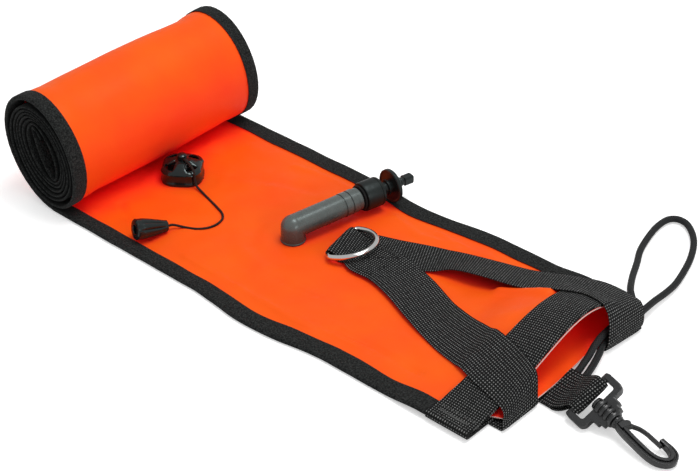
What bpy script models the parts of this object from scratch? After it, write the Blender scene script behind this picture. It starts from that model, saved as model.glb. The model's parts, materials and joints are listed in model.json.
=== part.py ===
"""A diver's surface marker buoy, lying flat with its top end rolled up.

The tube of the buoy is two coated cloth panels with folded tape along both edges. It lies
along X: the roll is at the -X end, the open mouth and its snap at the +X end. The origin is
on the ground, on the centre line, beneath the oral inflator's elbow. Metres, +Z up.
"""
import math

import bmesh
import bpy
from mathutils import Matrix, Vector

# Clearance between pieces that touch
CLEAR = 0.0003

# Cloth, tape and webbing
BUOY_WIDTH = 0.146
FABRIC = 0.0004
TAPE = 0.0006
TAPE_LAP = 0.011
WEB = 0.0012
BRIDLE_WEB_WIDTH = 0.0285
BRIDLE_FOLD_WIDTH = 0.026
STRAP_COLUMNS = 4
TAB_WEB_WIDTH = 0.025
TAB_FOLD_WIDTH = 0.0205

# The flat part's centre line lies a little aside, most of all at SWAY_X
ROLL_Y = -0.002
SWAY_X = 0.040
SWAY_REACH = 0.050
SWAY_DIP = 0.0045

# Mouth end
BACK_MOUTH_X = 0.188
FRONT_MOUTH_X = 0.182
BACK_MOUTH_RECESS = 0.006
NEAR_CORNER_RECESS = 0.0062
BAND_SETBACK = 0.001
BAND_WIDTH = 0.026
ARCH_HEIGHT = 0.0205
ARCH_LENGTH = 0.096
ARCH_SKEW = 1.67
RISE_LENGTH = 0.025
RISE_SETBACK = 0.005
FLAT_MARGIN = 0.008
FLAT_RAMP = 0.008
BAND_RAMP = 0.006

# Roll: an oval spiral of the whole tube, its long axis leaning back over the roll
ROLL_X = -0.1282
ROLL_LEAN = math.radians(29.0)
OUTER_LONG = 0.0348
OUTER_SHORT = 0.0273
INNER_LONG = 0.0277
INNER_SHORT = 0.0233
INNER_LIFT = 0.0019
LANDING = 0.0040
LANDING_SHORT = 0.0030
ROLL_PITCH = 0.0032
LOOSE_TURNS = 1.45
TIGHT_TURNS = 3.5
DRAW_IN_START = 0.95
LOOSE_STEPS = 20
TIGHT_STEPS = 10
END_TAPE_STEPS = 3

# Oral inflator
INFLATOR_X = 0.0025
INFLATOR_Y = -0.005
INFLATOR_HEADING = math.radians(77.6)
BARREL_HEIGHT = 0.013
BARREL_RADIUS = 0.007
BARREL_WALL = 0.002
BARREL_LENGTH = 0.0435
ELBOW_RADIUS = 0.0075
FLANGE = 0.0012
INFLATOR_FLANGE_RADIUS = 0.017
SPIGOT_WALL = 0.0015
SPIGOT_HEIGHT = 0.0054
SEAL_WIDTH = 0.0012
SEAL_DEPTH = 0.0018
VALVE_BODY_INSERT = 0.0115
VALVE_BODY_RADIUS = 0.0055
STEM_RADIUS = 0.0029
SPRING_BORE_RADIUS = 0.0045
LOCK_RING_RADIUS = 0.0085
LOCK_RING_LENGTH = 0.0122
LOCK_RING_FLUTES = 12
NECK_LENGTH = 0.0075
MOUTH_DISC_RADIUS = 0.010
MOUTH_DISC_THICKNESS = 0.0025
NIPPLE_LENGTH = 0.0135
NIPPLE_RADIUS = 0.003
POPPET_RADIUS = 0.0043
POPPET_LENGTH = 0.004
SPRING_WIRE_RADIUS = 0.00035
SPRING_TURNS = 5

# Dump valve
DUMP_X = -0.091
DUMP_Y = -0.002
DUMP_FLANGE_RADIUS = 0.018
DUMP_NECK_RADIUS = 0.0098
DUMP_NECK_WALL = 0.002
DUMP_NECK_TOP = 0.007
SPIDER_THICKNESS = 0.0014
SPIDER_WIDTH = 0.002
DIAPHRAGM = 0.001
DUMP_STEM_RADIUS = 0.0012
STEM_PLATE_RADIUS = 0.0045
STEM_PLATE = 0.0006
DUMP_CAP_RADIUS = 0.0129
DUMP_CAP_LOBE = 0.0006
DUMP_CAP_TOP = 0.0146
DUMP_CAP_ROOF = 0.0016
DUMP_WINDOW_INNER = 0.0036
DUMP_WINDOW_OUTER = 0.0088
CAP_LOBES = 4
STEM_KNOB_RADIUS = 0.0022
STEM_KNOB_HEIGHT = 0.002
DUMP_SPRING_WIRE_RADIUS = 0.0002
DUMP_SPRING_TURNS = 2.5

# Pull cord and its toggle
CORD_DIAMETER = 0.0014
TOGGLE_LENGTH = 0.023
TOGGLE_SMALL_RADIUS = 0.0033
TOGGLE_BIG_RADIUS = 0.006
TOGGLE_LOBES = 8
TOGGLE_GROOVE = 0.0004
KNOT_RADIUS = 0.002

# D-ring
RING_X = 0.0273
RING_Y = 0.0062
RING_TURN = math.radians(12.2)
RING_TILT = math.radians(12.0)
RING_WIRE_RADIUS = 0.0015
RING_CORNER = 0.0025
RING_STRETCH = 1.1

# Snap: its frame leans on the near corner, its hook lies on the ground
BAR_X = 0.2109
SNAP_Y = -0.0157
SNAP_Z = 0.0110
SNAP_YAW = math.radians(-11.0)
SNAP_PITCH = math.radians(9.0)
SNAP_ROLL = math.radians(33.0)
HOOK_ROLL = 0.0
TAB_Y = -0.013
BAR_RADIUS = 0.002
FRAME_THICKNESS = 0.0044
FRAME_SIDE = 0.0036
SLOT_LENGTH = 0.0057
SLOT_MARGIN = 0.0008
CROSS_BAR = 0.0037
HUB_RADIUS = 0.0046
HUB_LENGTH = 0.0118
HUB_RIBS = 4
HUB_RIB_DEPTH = 0.0005
SHOULDER_WIDTH = 0.0158
SHOULDER_LENGTH = 0.0070
POST_RADIUS = 0.0023
POST_HEAD_RADIUS = 0.0034
POST_HEAD = 0.0018
HOOK_COLLAR_RADIUS = 0.0036
HOOK_COLLAR = 0.0026
HOOK_WIDTH = 0.0044
HOOK_HEIGHT = 0.0044
NOSE_WIDTH = 0.0024
GATE_BLADE = 0.0013
GATE_HEIGHT = 0.0024
GATE_PIN_RADIUS = 0.0007
GATE_EYE_RADIUS = 0.0017
EAR_THICKNESS = 0.0010

# Bungee
BUNGEE_DIAMETER = 0.0038

# Heights of the stack at the edges: tape, back panel, front panel, tape
back_z = TAPE + CLEAR
front_z = back_z + FABRIC + CLEAR
top_tape_z = front_z + FABRIC + CLEAR
stack = top_tape_z + TAPE

# Heights inside the tube, where the flat flanges of the valves lie between the panels
flange_z = FABRIC + CLEAR
flange_top = flange_z + FLANGE
front_inner_z = flange_top + CLEAR
panel_top = front_inner_z + FABRIC

half_width = BUOY_WIDTH / 2
panel_half = half_width - TAPE - CLEAR
lap_half = half_width - TAPE_LAP
flat_half = lap_half - FLAT_MARGIN
stack_rise = WEB + CLEAR + WEB + CLEAR - back_z
band_end = FRONT_MOUTH_X - BAND_SETBACK
band_start = band_end - BAND_WIDTH
rise_end = band_start - RISE_SETBACK
rise_start = rise_end - RISE_LENGTH


def smooth(t):
    t = min(1.0, max(0.0, t))
    return t * t * (3.0 - 2.0 * t)


# Materials
def material(name, colour, roughness, metallic=0.0):
    made = bpy.data.materials.new(name)
    made.use_nodes = True
    shader = made.node_tree.nodes["Principled BSDF"]
    shader.inputs["Base Color"].default_value = (*colour, 1.0)
    shader.inputs["Roughness"].default_value = roughness
    shader.inputs["Metallic"].default_value = metallic
    made.diffuse_color = (*colour, 1.0)
    return made


# Building blocks
def link(name, mesh, finish):
    obj = bpy.data.objects.new(name, mesh)
    bpy.context.scene.collection.objects.link(obj)
    obj.data.materials.append(finish)
    return obj


def mesh_from(name, points, faces, finish, smooth_angle=None):
    mesh = bpy.data.meshes.new(name)
    mesh.from_pydata([tuple(p) for p in points], [], faces)
    bm = bmesh.new()
    bm.from_mesh(mesh)
    bmesh.ops.recalc_face_normals(bm, faces=bm.faces)
    bm.to_mesh(mesh)
    bm.free()
    if smooth_angle:
        mesh.shade_smooth()
        mesh.set_sharp_from_angle(angle=math.radians(smooth_angle))
    return link(name, mesh, finish)


def sheet(name, rows, thickness, finish, ring=False):
    """A sheet of even thickness about the surface through rows of points."""
    columns = len(rows[0])
    points = [p for row in rows for p in row]
    faces = []
    for i in range(len(rows) - 1):
        for j in range(columns if ring else columns - 1):
            a = i * columns + j
            b = i * columns + (j + 1) % columns
            faces.append((a, b, b + columns, a + columns))
    obj = mesh_from(name, points, faces, finish)
    solidify = obj.modifiers.new("thickness", "SOLIDIFY")
    solidify.thickness = thickness
    solidify.offset = 0.0
    solidify.use_even_offset = True
    solidify.use_rim = True
    return obj


def loft(name, rings, finish, smooth_angle=40):
    """A closed solid through rings of points, its two ends filled."""
    count = len(rings[0])
    points = [p for ring in rings for p in ring]
    faces = [tuple(range(count)), tuple(range(len(points) - count, len(points)))]
    for i in range(len(rings) - 1):
        for j in range(count):
            a = i * count + j
            b = i * count + (j + 1) % count
            faces.append((a, b, b + count, a + count))
    return mesh_from(name, points, faces, finish, smooth_angle)


def turned(name, profile, segments, place, finish, lobes=0, depth=0.0, lobed=()):
    """A closed profile of (radius, height) turned about the local Z axis, then placed.

    Points of the profile whose index is in lobed get that many lobes of that depth.
    """
    points = []
    for k in range(segments):
        angle = 2.0 * math.pi * k / segments
        for i, (radius, height) in enumerate(profile):
            wave = depth * math.cos(lobes * angle) if i in lobed else 0.0
            r = radius + wave
            points.append(place @ Vector((r * math.cos(angle), r * math.sin(angle), height)))
    count = len(profile)
    faces = []
    for k in range(segments):
        after = (k + 1) % segments
        for i in range(count):
            j = (i + 1) % count
            faces.append((k * count + i, k * count + j, after * count + j, after * count + i))
    return mesh_from(name, points, faces, finish, 35)


def turned_solid(name, profile, segments, place, finish, lobes=0, depth=0.0, lobed=()):
    """A solid of revolution whose profile runs from one point of the axis to another."""
    rings = []
    for i, (radius, height) in enumerate(profile):
        ring = []
        for k in range(segments):
            angle = 2.0 * math.pi * k / segments
            r = radius + (depth * math.cos(lobes * angle) if i in lobed else 0.0)
            ring.append(place @ Vector((r * math.cos(angle), r * math.sin(angle), height)))
        rings.append(ring)
    return loft(name, rings, finish, 35)


def tube(name, points, radius, finish, resolution=2, cyclic=False):
    curve = bpy.data.curves.new(name, "CURVE")
    curve.dimensions = "3D"
    curve.bevel_depth = radius
    curve.bevel_resolution = resolution
    curve.use_fill_caps = True
    spline = curve.splines.new("POLY")
    spline.points.add(len(points) - 1)
    for point, place in zip(spline.points, points):
        point.co = (*place, 1.0)
    spline.use_cyclic_u = cyclic
    spline.use_smooth = True
    return link(name, curve, finish)


def boolean(target, cutter, operation):
    modifier = target.modifiers.new(cutter.name, "BOOLEAN")
    modifier.operation = operation
    modifier.object = cutter
    modifier.solver = "EXACT"
    cutter.hide_render = True
    cutter.display_type = "WIRE"


def block(name, low, high, place, finish):
    corners = [Vector((x, y, z)) for z in (low[2], high[2]) for y in (low[1], high[1])
               for x in (low[0], high[0])]
    faces = [(0, 1, 3, 2), (4, 5, 7, 6), (0, 1, 5, 4), (2, 3, 7, 6), (0, 2, 6, 4), (1, 3, 7, 5)]
    return mesh_from(name, [place @ c for c in corners], faces, finish)


def plate(name, outline, low, high, place, finish):
    """A flat plate: an outline of (x, y) points between two heights."""
    rings = [[place @ Vector((x, y, z)) for x, y in outline] for z in (low, high)]
    return loft(name, rings, finish, None)


def curve_through(stations, steps):
    """Points on a smooth curve through the stations, with that many steps in each span."""
    found = []
    last = len(stations) - 1
    for i in range(last):
        before = stations[max(i - 1, 0)]
        here = stations[i]
        after = stations[i + 1]
        beyond = stations[min(i + 2, last)]
        for k in range(steps):
            t = k / steps
            found.append(0.5 * (2.0 * here + (after - before) * t
                                + (2.0 * before - 5.0 * here + 4.0 * after - beyond) * t ** 2
                                + (3.0 * here - before - 3.0 * after + beyond) * t ** 3))
    found.append(stations[last].copy())
    return found


def arc(centre, radius, start, end, steps):
    """Points (x, y) of an arc, from one angle in degrees to another."""
    found = []
    for k in range(steps + 1):
        angle = math.radians(start + (end - start) * k / steps)
        found.append((centre[0] + radius * math.cos(angle), centre[1] + radius * math.sin(angle)))
    return found


# Surfaces of the two panels
def stack_rise_at(x):
    return stack_rise * smooth((x - rise_start) / (rise_end - rise_start))


def sway(x):
    """How far aside the tube's centre line lies."""
    straightened = smooth(x / (BACK_MOUTH_X - ARCH_LENGTH))
    dipped = smooth(1.0 - abs(x - SWAY_X) / SWAY_REACH)
    return ROLL_Y * (1.0 - straightened) - SWAY_DIP * dipped


def inner_share(x, y):
    return smooth((lap_half - abs(y - sway(x))) / FLAT_MARGIN)


def arch_at(x, y):
    """The cloth's rise at the mouth, where the front panel stands open."""
    along = smooth((x - (BACK_MOUTH_X - ARCH_LENGTH)) / ARCH_LENGTH)
    across = min(1.0, max(0.0, (y - sway(x) + lap_half) / (2.0 * lap_half)))
    return ARCH_HEIGHT * along * math.sin(math.pi * across ** ARCH_SKEW)


def back_bottom(x, y):
    """The back panel's underside: on the ground between the tapes, level with them outside."""
    from_roll = smooth((x - roll_start - FLAT_RAMP / 4) / FLAT_RAMP)
    to_mouth = 1.0 - smooth((x - rise_start + FLAT_RAMP) / FLAT_RAMP)
    return back_z * (1.0 - inner_share(x, y) * from_roll * to_mouth) + stack_rise_at(x)


def front_bottom(x, y):
    from_roll = smooth((x - roll_start - FLAT_RAMP / 4) / FLAT_RAMP)
    inner = (front_inner_z - front_z) * inner_share(x, y) * from_roll
    return front_z + inner + stack_rise_at(x) + arch_at(x, y)


def steepness(x, y):
    """How much further apart, measured upright, two sheets are that lie parallel on a slope."""
    step = 0.001
    slope_x = (front_bottom(x + step, y) - front_bottom(x - step, y)) / (2.0 * step)
    slope_y = (front_bottom(x, y + step) - front_bottom(x, y - step)) / (2.0 * step)
    return math.sqrt(1.0 + slope_x ** 2 + slope_y ** 2)


def strap_height(x, y):
    """Middle height of webbing that lies on the front panel, the edge tape or the mouth band."""
    ramp = BAND_RAMP
    over_band = smooth((x - band_start + 2.0 * ramp) / ramp)
    gap = FABRIC / 2 + CLEAR + WEB / 2 + (WEB + CLEAR) * over_band
    height = front_bottom(x, y) + FABRIC / 2 + gap * steepness(x, y)
    if abs(y - sway(x)) > lap_half - CLEAR:
        height = max(height, stack + stack_rise_at(x) + CLEAR + WEB / 2)
    return height


# Path of the tube's outer face round the roll
roll_long_axis = Vector((-math.sin(ROLL_LEAN), 0.0, math.cos(ROLL_LEAN)))
roll_short_axis = Vector((math.cos(ROLL_LEAN), 0.0, math.sin(ROLL_LEAN)))


def roll_height(long_half, short_half):
    """Half the height of a leaning oval."""
    return math.hypot(long_half * math.cos(ROLL_LEAN), short_half * math.sin(ROLL_LEAN))


first_long = OUTER_LONG + LANDING
first_short = OUTER_SHORT + LANDING_SHORT
roll_z = roll_height(first_long, first_short)
roll_bottom = math.pi + math.atan2(first_short * math.sin(ROLL_LEAN),
                                   first_long * math.cos(ROLL_LEAN))


def roll_point(turns):
    """A point of the tube's outer face, counted in turns from where it leaves the ground."""
    landed = smooth(turns / 0.5)
    drawn_in = smooth((turns - DRAW_IN_START) / (LOOSE_TURNS - DRAW_IN_START))
    wound = ROLL_PITCH * max(0.0, turns - LOOSE_TURNS)
    long_half = first_long - LANDING * landed - (OUTER_LONG - INNER_LONG) * drawn_in - wound
    short_half = (first_short - LANDING_SHORT * landed
                  - (OUTER_SHORT - INNER_SHORT) * drawn_in - wound)
    angle = roll_bottom + 2.0 * math.pi * turns
    centre = Vector((ROLL_X, 0.0, roll_z + INNER_LIFT * drawn_in))
    return (centre + roll_long_axis * long_half * math.cos(angle)
            + roll_short_axis * short_half * math.sin(angle))


roll_start = roll_point(0.0).x


def roll_stations():
    """The tube's outer face from the ground to the core, each point with its mitred normal."""
    loose = round(LOOSE_TURNS * LOOSE_STEPS)
    turns = [k / LOOSE_STEPS for k in range(loose + 1)]
    turns += [turns[-1] + (k + 1) / TIGHT_STEPS for k in range(round(TIGHT_TURNS * TIGHT_STEPS))]
    points = [roll_point(t) for t in turns]
    points[0] = points[0] - Vector((CLEAR / 2, 0.0, 0.0))
    normals = []
    for i, point in enumerate(points):
        into = (point - points[i - 1]).normalized() if i else Vector((-1.0, 0.0, 0.0))
        out = (points[i + 1] - point).normalized() if i + 1 < len(points) else into
        side = Vector((into.z, 0.0, -into.x)) + Vector((out.z, 0.0, -out.x))
        side.normalize()
        side /= max(0.5, Vector((into.z, 0.0, -into.x)).dot(side))
        normals.append(side if i else Vector((0.0, 0.0, 1.0)))
    return list(zip(points, normals))


def at_depth(station, depth, y):
    point, normal = station
    place = point + normal * depth
    return Vector((place.x, y + ROLL_Y, place.z))


# Cloth tube
def spread(low, high, count):
    return [low + (high - low) * k / (count - 1) for k in range(count)]


def panel_columns():
    inner = [lap_half, lap_half - FLAT_MARGIN / 2, flat_half]
    middle = spread(-flat_half, flat_half, 8)
    outer_left = [-panel_half] + [-y for y in inner[:2]]
    return outer_left + middle + [-y for y in reversed(outer_left)]


def flat_stations():
    """Places along the flat part that the panels and the edge tapes share."""
    swaying = spread(DUMP_X, BACK_MOUTH_X - ARCH_LENGTH, 9)[1:]
    return [roll_start + CLEAR / 2, roll_start + FLAT_RAMP / 2, roll_start + FLAT_RAMP * 1.25] + swaying


def panel_row(x, underside):
    ys = [y + sway(x) for y in panel_columns()]
    return [Vector((x, y, underside(x, y) + FABRIC / 2)) for y in ys]


def make_front_panel(cloth):
    xs = flat_stations() + spread(BACK_MOUTH_X - ARCH_LENGTH, FRONT_MOUTH_X, 10)[1:]
    panel = sheet("front_panel", [panel_row(x, front_bottom) for x in xs], FABRIC, cloth)
    for name, x, y, radius in (
            ("inflator_hole", INFLATOR_X, INFLATOR_Y, BARREL_RADIUS - BARREL_WALL),
            ("dump_hole", DUMP_X, DUMP_Y, DUMP_NECK_RADIUS + CLEAR)):
        cutter = turned_solid(name, [(radius, -FLANGE), (radius, 5 * FLANGE)], 24,
                              Matrix.Translation((x, y, 0.0)), cloth)
        boolean(panel, cutter, "DIFFERENCE")


def back_mouth_at(y):
    """The back panel's lip, cut back towards the far side and at the near corner."""
    far_share = smooth((y + lap_half / 3) / lap_half)
    near_share = smooth((-y - lap_half * 0.75) / (lap_half / 4))
    return BACK_MOUTH_X - BACK_MOUTH_RECESS * far_share - NEAR_CORNER_RECESS * near_share


def make_back_panel(cloth):
    xs = flat_stations() + [rise_start - FLAT_RAMP, rise_start - FLAT_RAMP / 2, rise_start]
    xs += spread(rise_start, rise_end, 4)[1:] + [band_end]
    rows = [panel_row(x, back_bottom) for x in xs]
    rows.append([Vector((back_mouth_at(y), y, back_bottom(band_end, y) + FABRIC / 2))
                 for y in panel_columns()])
    sheet("back_panel", rows, FABRIC, cloth)


def tape_section(side):
    """The folded tape's middle line, as (y, height above the ground)."""
    inner = side * lap_half
    outer = side * (half_width - TAPE / 2)
    low = TAPE / 2
    high = stack - TAPE / 2
    return [(inner, low), (outer, low), (outer, high), (inner, high)]


def make_edge_tapes(tape):
    for name, side in (("near_binding", -1), ("far_binding", 1)):
        rows = []
        for x in flat_stations() + spread(rise_start, rise_end, 5) + [band_start - CLEAR]:
            rows.append([Vector((x, y + sway(x), z + stack_rise_at(x)))
                         for y, z in tape_section(side)])
        sheet(name, rows, TAPE, tape)
        rolled = [[at_depth(s, z, y) for y, z in tape_section(side)] for s in roll_stations()]
        sheet(name + "_rolled", rolled, TAPE, tape)


def make_rolled_panels(cloth):
    for name, depth in (("back_panel_rolled", back_z), ("front_panel_rolled", front_z)):
        rows = [[at_depth(s, depth + FABRIC / 2, y) for y in (-panel_half, panel_half)]
                for s in roll_stations()]
        sheet(name, rows, FABRIC, cloth)


def make_end_tape(tape):
    """A tape folded over the tube's top end, at the core of the roll."""
    stations = roll_stations()
    point, normal = stations[-1]
    onward = Vector((-normal.z, 0.0, normal.x)).normalized()
    if onward.dot(point - stations[-2][0]) < 0.0:
        onward = -onward
    beyond = (point + onward * (CLEAR + TAPE / 2), normal)
    lap = stations[-END_TAPE_STEPS:]
    low = TAPE / 2
    high = stack - TAPE / 2
    path = [(s, low) for s in lap] + [(beyond, low), (beyond, high)]
    path += [(s, high) for s in reversed(lap)]
    ends = (-lap_half + CLEAR + TAPE, lap_half - CLEAR - TAPE)
    sheet("top_end_tape", [[at_depth(s, depth, y) for y in ends] for s, depth in path], TAPE, tape)


def make_mouth_band(webbing):
    """A flattened ring of webbing round both panels at the mouth."""
    side = panel_half + CLEAR + WEB / 2
    ys = panel_columns()[1:-1]
    gap = FABRIC / 2 + CLEAR + WEB / 2
    rows = []
    for x in spread(band_start, band_end, 4):
        top = [(y, front_bottom(x, y) + FABRIC / 2 + gap * steepness(x, y)) for y in ys]
        low = back_bottom(x, 0.0) - CLEAR - WEB / 2
        edge = top[0][1]
        ring = [(-side, low), (-side, edge)] + top + [(side, edge), (side, low)]
        ring += [(y, low) for y in reversed(spread(-lap_half, lap_half, 4))]
        rows.append([Vector((x, y, z)) for y, z in ring])
    sheet("mouth_band", rows, WEB, webbing, ring=True)


# Bridle: webbing from both corners of the mouth, folded over the D-ring's bar
ring_centre_z = panel_top + CLEAR + WEB + CLEAR + RING_WIRE_RADIUS
ring_bar = Vector((-math.sin(RING_TURN), math.cos(RING_TURN), 0.0))
ring_out = Vector((math.cos(RING_TURN), math.sin(RING_TURN), 0.0))
ring_centre = Vector((RING_X, RING_Y, ring_centre_z))
fold_radius = RING_WIRE_RADIUS + CLEAR + WEB / 2
bridle_half = BRIDLE_WEB_WIDTH / 2
fold_half = BRIDLE_FOLD_WIDTH / 2
under_web = WEB / 2
wrap_x = BACK_MOUTH_X + CLEAR + WEB / 2
over_lip_x = FRONT_MOUTH_X + CLEAR + WEB / 2
mouth_z = back_z + stack_rise + FABRIC + WEB

# The near leg's middle line, (x, y), and its heading in degrees
NEAR_LEG_ON_FAR_LEG = [((0.0470, 0.0054), 0.0), ((0.0600, 0.0058), -3.0), ((0.0715, 0.0038), -14.0)]
NEAR_LEG_ON_PANEL = [((0.0715, 0.0038), -14.0), ((0.0845, -0.0004), -20.0),
                     ((0.1000, -0.0068), -21.0), ((0.1170, -0.0134), -20.0),
                     ((0.1370, -0.0204), -18.0), ((0.1490, -0.0243), -18.0),
                     ((0.1640, -0.0295), -19.0)]
NEAR_LIP_YS = (-0.0495, -0.0222)
NEAR_WRAP_YS = (-0.0555, -0.0275)

# The far leg's two edges, (x, y, z); a height of zero means flat on the panel
FAR_LEG_EDGES = [
    ((0.0560, 0.0060, 0.0), (0.0475, 0.0320, 0.0)),
    ((0.0735, 0.0165, 0.0), (0.0650, 0.0395, 0.0)),
    ((0.0815, 0.0206, 0.0046), (0.0745, 0.0428, 0.0036)),
    ((0.0920, 0.0242, 0.0088), (0.0850, 0.0465, 0.0040)),
    ((0.1090, 0.0262, 0.0120), (0.1030, 0.0520, 0.0042)),
    ((0.1267, 0.0288, 0.0142), (0.1205, 0.0555, 0.0056)),
    ((0.1400, 0.0310, 0.0168), (0.1335, 0.0585, 0.0080)),
    ((0.1530, 0.0345, 0.0194), (0.1480, 0.0625, 0.0104)),
    ((0.1680, 0.0392, 0.0210), (0.1640, 0.0660, 0.0120)),
]
FAR_LIP_EDGES = ((0.0340, 0.0243), (0.0645, 0.0128))

# The far leg's loop round the lips, as (distance beyond the back lip, y, z) of its two edges
FAR_LEG_WRAP = [
    ((0.0000, 0.0310, 0.0205), (0.0030, 0.0615, 0.0120)),
    ((0.0020, 0.0295, 0.0120), (0.0070, 0.0585, 0.0075)),
    ((0.0015, 0.0290, 0.0040), (0.0060, 0.0575, 0.0030)),
    ((-0.0040, 0.0290, 0.0), (-0.0010, 0.0575, 0.0)),
]


def strap_rows(pairs, columns, steps):
    """Rows across a strap, from the curves along its two edges, kept above what it lies on."""
    lows = curve_through([Vector(low) for low, _ in pairs], steps)
    highs = curve_through([Vector(high) for _, high in pairs], steps)
    rows = []
    for low, high in zip(lows, highs):
        row = []
        for k in range(columns):
            point = low.lerp(high, k / (columns - 1))
            if point.z > back_z + stack_rise and point.x < FRONT_MOUTH_X + WEB:
                point.z = max(point.z, strap_height(point.x, point.y))
            point.z = max(point.z, WEB / 2)
            row.append(point)
        rows.append(row)
    return rows


def across(centre, heading, half, z):
    """The two edge points of a strap, from its centre (x, y) and its heading in degrees."""
    turn = math.radians(heading)
    side = Vector((-math.sin(turn), math.cos(turn), 0.0)) * half
    middle = Vector((centre[0], centre[1], z))
    return middle - side, middle + side


def make_near_leg(webbing):
    laid = panel_top + CLEAR + WEB + CLEAR + WEB / 2
    rows = []
    for angle in range(270, 59, -30):
        turn = math.radians(angle)
        middle = ring_centre + ring_out * fold_radius * math.cos(turn)
        middle.z += fold_radius * math.sin(turn)
        low = middle - ring_bar * fold_half
        rows.append(spread(low, low + ring_bar * BRIDLE_FOLD_WIDTH, STRAP_COLUMNS))
    rows.insert(0, [point + ring_out * fold_radius for point in rows[0]])
    over = (rows[-1][0], rows[-1][-1])
    landing = ring_centre + ring_out * 3 * fold_radius
    landing.z = laid
    pairs = [over, (landing - ring_bar * fold_half, landing + ring_bar * fold_half)]
    pairs += [across(c, h, bridle_half, laid) for c, h in NEAR_LEG_ON_FAR_LEG]
    rows += strap_rows(pairs, STRAP_COLUMNS, 2)[1:]
    pairs = [across(c, h, bridle_half, laid) for c, h in NEAR_LEG_ON_PANEL]
    pairs.append(tuple(Vector((over_lip_x, y, strap_height(over_lip_x, y))) for y in NEAR_LIP_YS))
    for x, z in ((wrap_x, mouth_z), (wrap_x, 2 * under_web), (BACK_MOUTH_X - 4 * WEB, under_web),
                 (band_start - RISE_SETBACK, under_web)):
        pairs.append(tuple(Vector((x, y, z)) for y in NEAR_WRAP_YS))
    rows += strap_rows(pairs, STRAP_COLUMNS, 2)[1:]
    sheet("bridle_near_leg", rows, WEB, webbing)


def make_far_leg(webbing):
    laid = panel_top + CLEAR + WEB / 2
    bar_start = ring_centre + ring_out * (fold_radius + CLEAR + WEB)
    bar_start.z = laid
    pairs = [(bar_start - ring_bar * fold_half, bar_start + ring_bar * fold_half)]
    for edges in FAR_LEG_EDGES:
        pairs.append(tuple(Vector((x, y, max(z, laid))) for x, y, z in edges))
    pairs.append(tuple(Vector((over_lip_x, y, z)) for y, z in FAR_LIP_EDGES))
    for edges in FAR_LEG_WRAP:
        pairs.append(tuple(Vector((wrap_x + x, y, max(z, under_web))) for x, y, z in edges))
    pairs.append(tuple(Vector((band_start - RISE_SETBACK, point.y, under_web)) for point in pairs[-1]))
    sheet("bridle_far_leg", strap_rows(pairs, STRAP_COLUMNS, 2), WEB, webbing)


def make_d_ring(steel):
    """A D of round wire: its straight bar in the webbing's fold, its bow to +X."""
    half = fold_half + CLEAR + RING_CORNER
    bow = half
    outline = arc((RING_CORNER, -half + RING_CORNER), RING_CORNER, 180, 270, 3)
    outline += arc((RING_CORNER, 0.0), bow, -90, 90, 14)[1:-1]
    outline += arc((RING_CORNER, half - RING_CORNER), RING_CORNER, 90, 180, 3)
    rise = math.tan(RING_TILT)
    outline = [(x * RING_STRETCH, y) for x, y in outline]
    points = [ring_centre + ring_out * x + ring_bar * y + Vector((0.0, 0.0, x * rise))
              for x, y in outline]
    tube("d_ring", points, RING_WIRE_RADIUS, steel, resolution=2, cyclic=True)


# Oral inflator
barrel_way = Vector((math.cos(INFLATOR_HEADING), math.sin(INFLATOR_HEADING), 0.0))
elbow_base = panel_top + CLEAR
bore_radius = BARREL_RADIUS - BARREL_WALL
seal_start = BARREL_LENGTH + CLEAR
lock_start = seal_start + SEAL_WIDTH + CLEAR
body_end = lock_start + LOCK_RING_LENGTH + CLEAR
body_start = BARREL_LENGTH - VALVE_BODY_INSERT
spring_shoulder = lock_start
disc_start = body_end + NECK_LENGTH
collar_height = POPPET_LENGTH / 3


def barrel_place(distance=0.0):
    """Local Z along the barrel, from a point of its axis."""
    origin = Vector((INFLATOR_X, INFLATOR_Y, BARREL_HEIGHT)) + barrel_way * distance
    side = Vector((0.0, 0.0, 1.0)).cross(barrel_way)
    turn = Matrix((side, Vector((0.0, 0.0, 1.0)), barrel_way)).transposed()
    if turn.determinant() < 0.0:
        turn = Matrix((-side, Vector((0.0, 0.0, 1.0)), barrel_way)).transposed()
    return Matrix.Translation(origin) @ turn.to_4x4()


def inflator_place():
    return Matrix.Translation((INFLATOR_X, INFLATOR_Y, 0.0))


def make_inflator_flange(plastic):
    outer = bore_radius - CLEAR
    inner = outer - SPIGOT_WALL
    profile = [(inner, flange_z), (INFLATOR_FLANGE_RADIUS, flange_z),
               (INFLATOR_FLANGE_RADIUS, flange_top), (outer, flange_top),
               (outer, SPIGOT_HEIGHT), (inner, SPIGOT_HEIGHT)]
    turned("inflator_flange", profile, 24, inflator_place(), plastic)


def make_elbow(plastic):
    base = Vector((INFLATOR_X, INFLATOR_Y, elbow_base))
    path = [(base, Vector((0.0, 0.0, 1.0)))]
    centre = Vector((INFLATOR_X, INFLATOR_Y, BARREL_HEIGHT - ELBOW_RADIUS)) + barrel_way * ELBOW_RADIUS
    for k in range(7):
        turn = math.pi / 2 * k / 6
        place = centre - barrel_way * ELBOW_RADIUS * math.cos(turn)
        place.z += ELBOW_RADIUS * math.sin(turn)
        heading = barrel_way * math.sin(turn) + Vector((0.0, 0.0, math.cos(turn)))
        path.append((place, heading))
    axis = Vector((INFLATOR_X, INFLATOR_Y, BARREL_HEIGHT))
    path.append((axis + barrel_way * BARREL_LENGTH, barrel_way))
    side = Vector((0.0, 0.0, 1.0)).cross(barrel_way)
    rows = []
    mid_radius = BARREL_RADIUS - BARREL_WALL / 2
    for place, heading in path:
        up = heading.cross(side)
        rows.append([place + (side * math.cos(a) + up * math.sin(a)) * mid_radius
                     for a in (2.0 * math.pi * k / 16 for k in range(16))])
    elbow = sheet("inflator_elbow", rows, BARREL_WALL, plastic, ring=True)
    elbow.data.shade_smooth()


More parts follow.
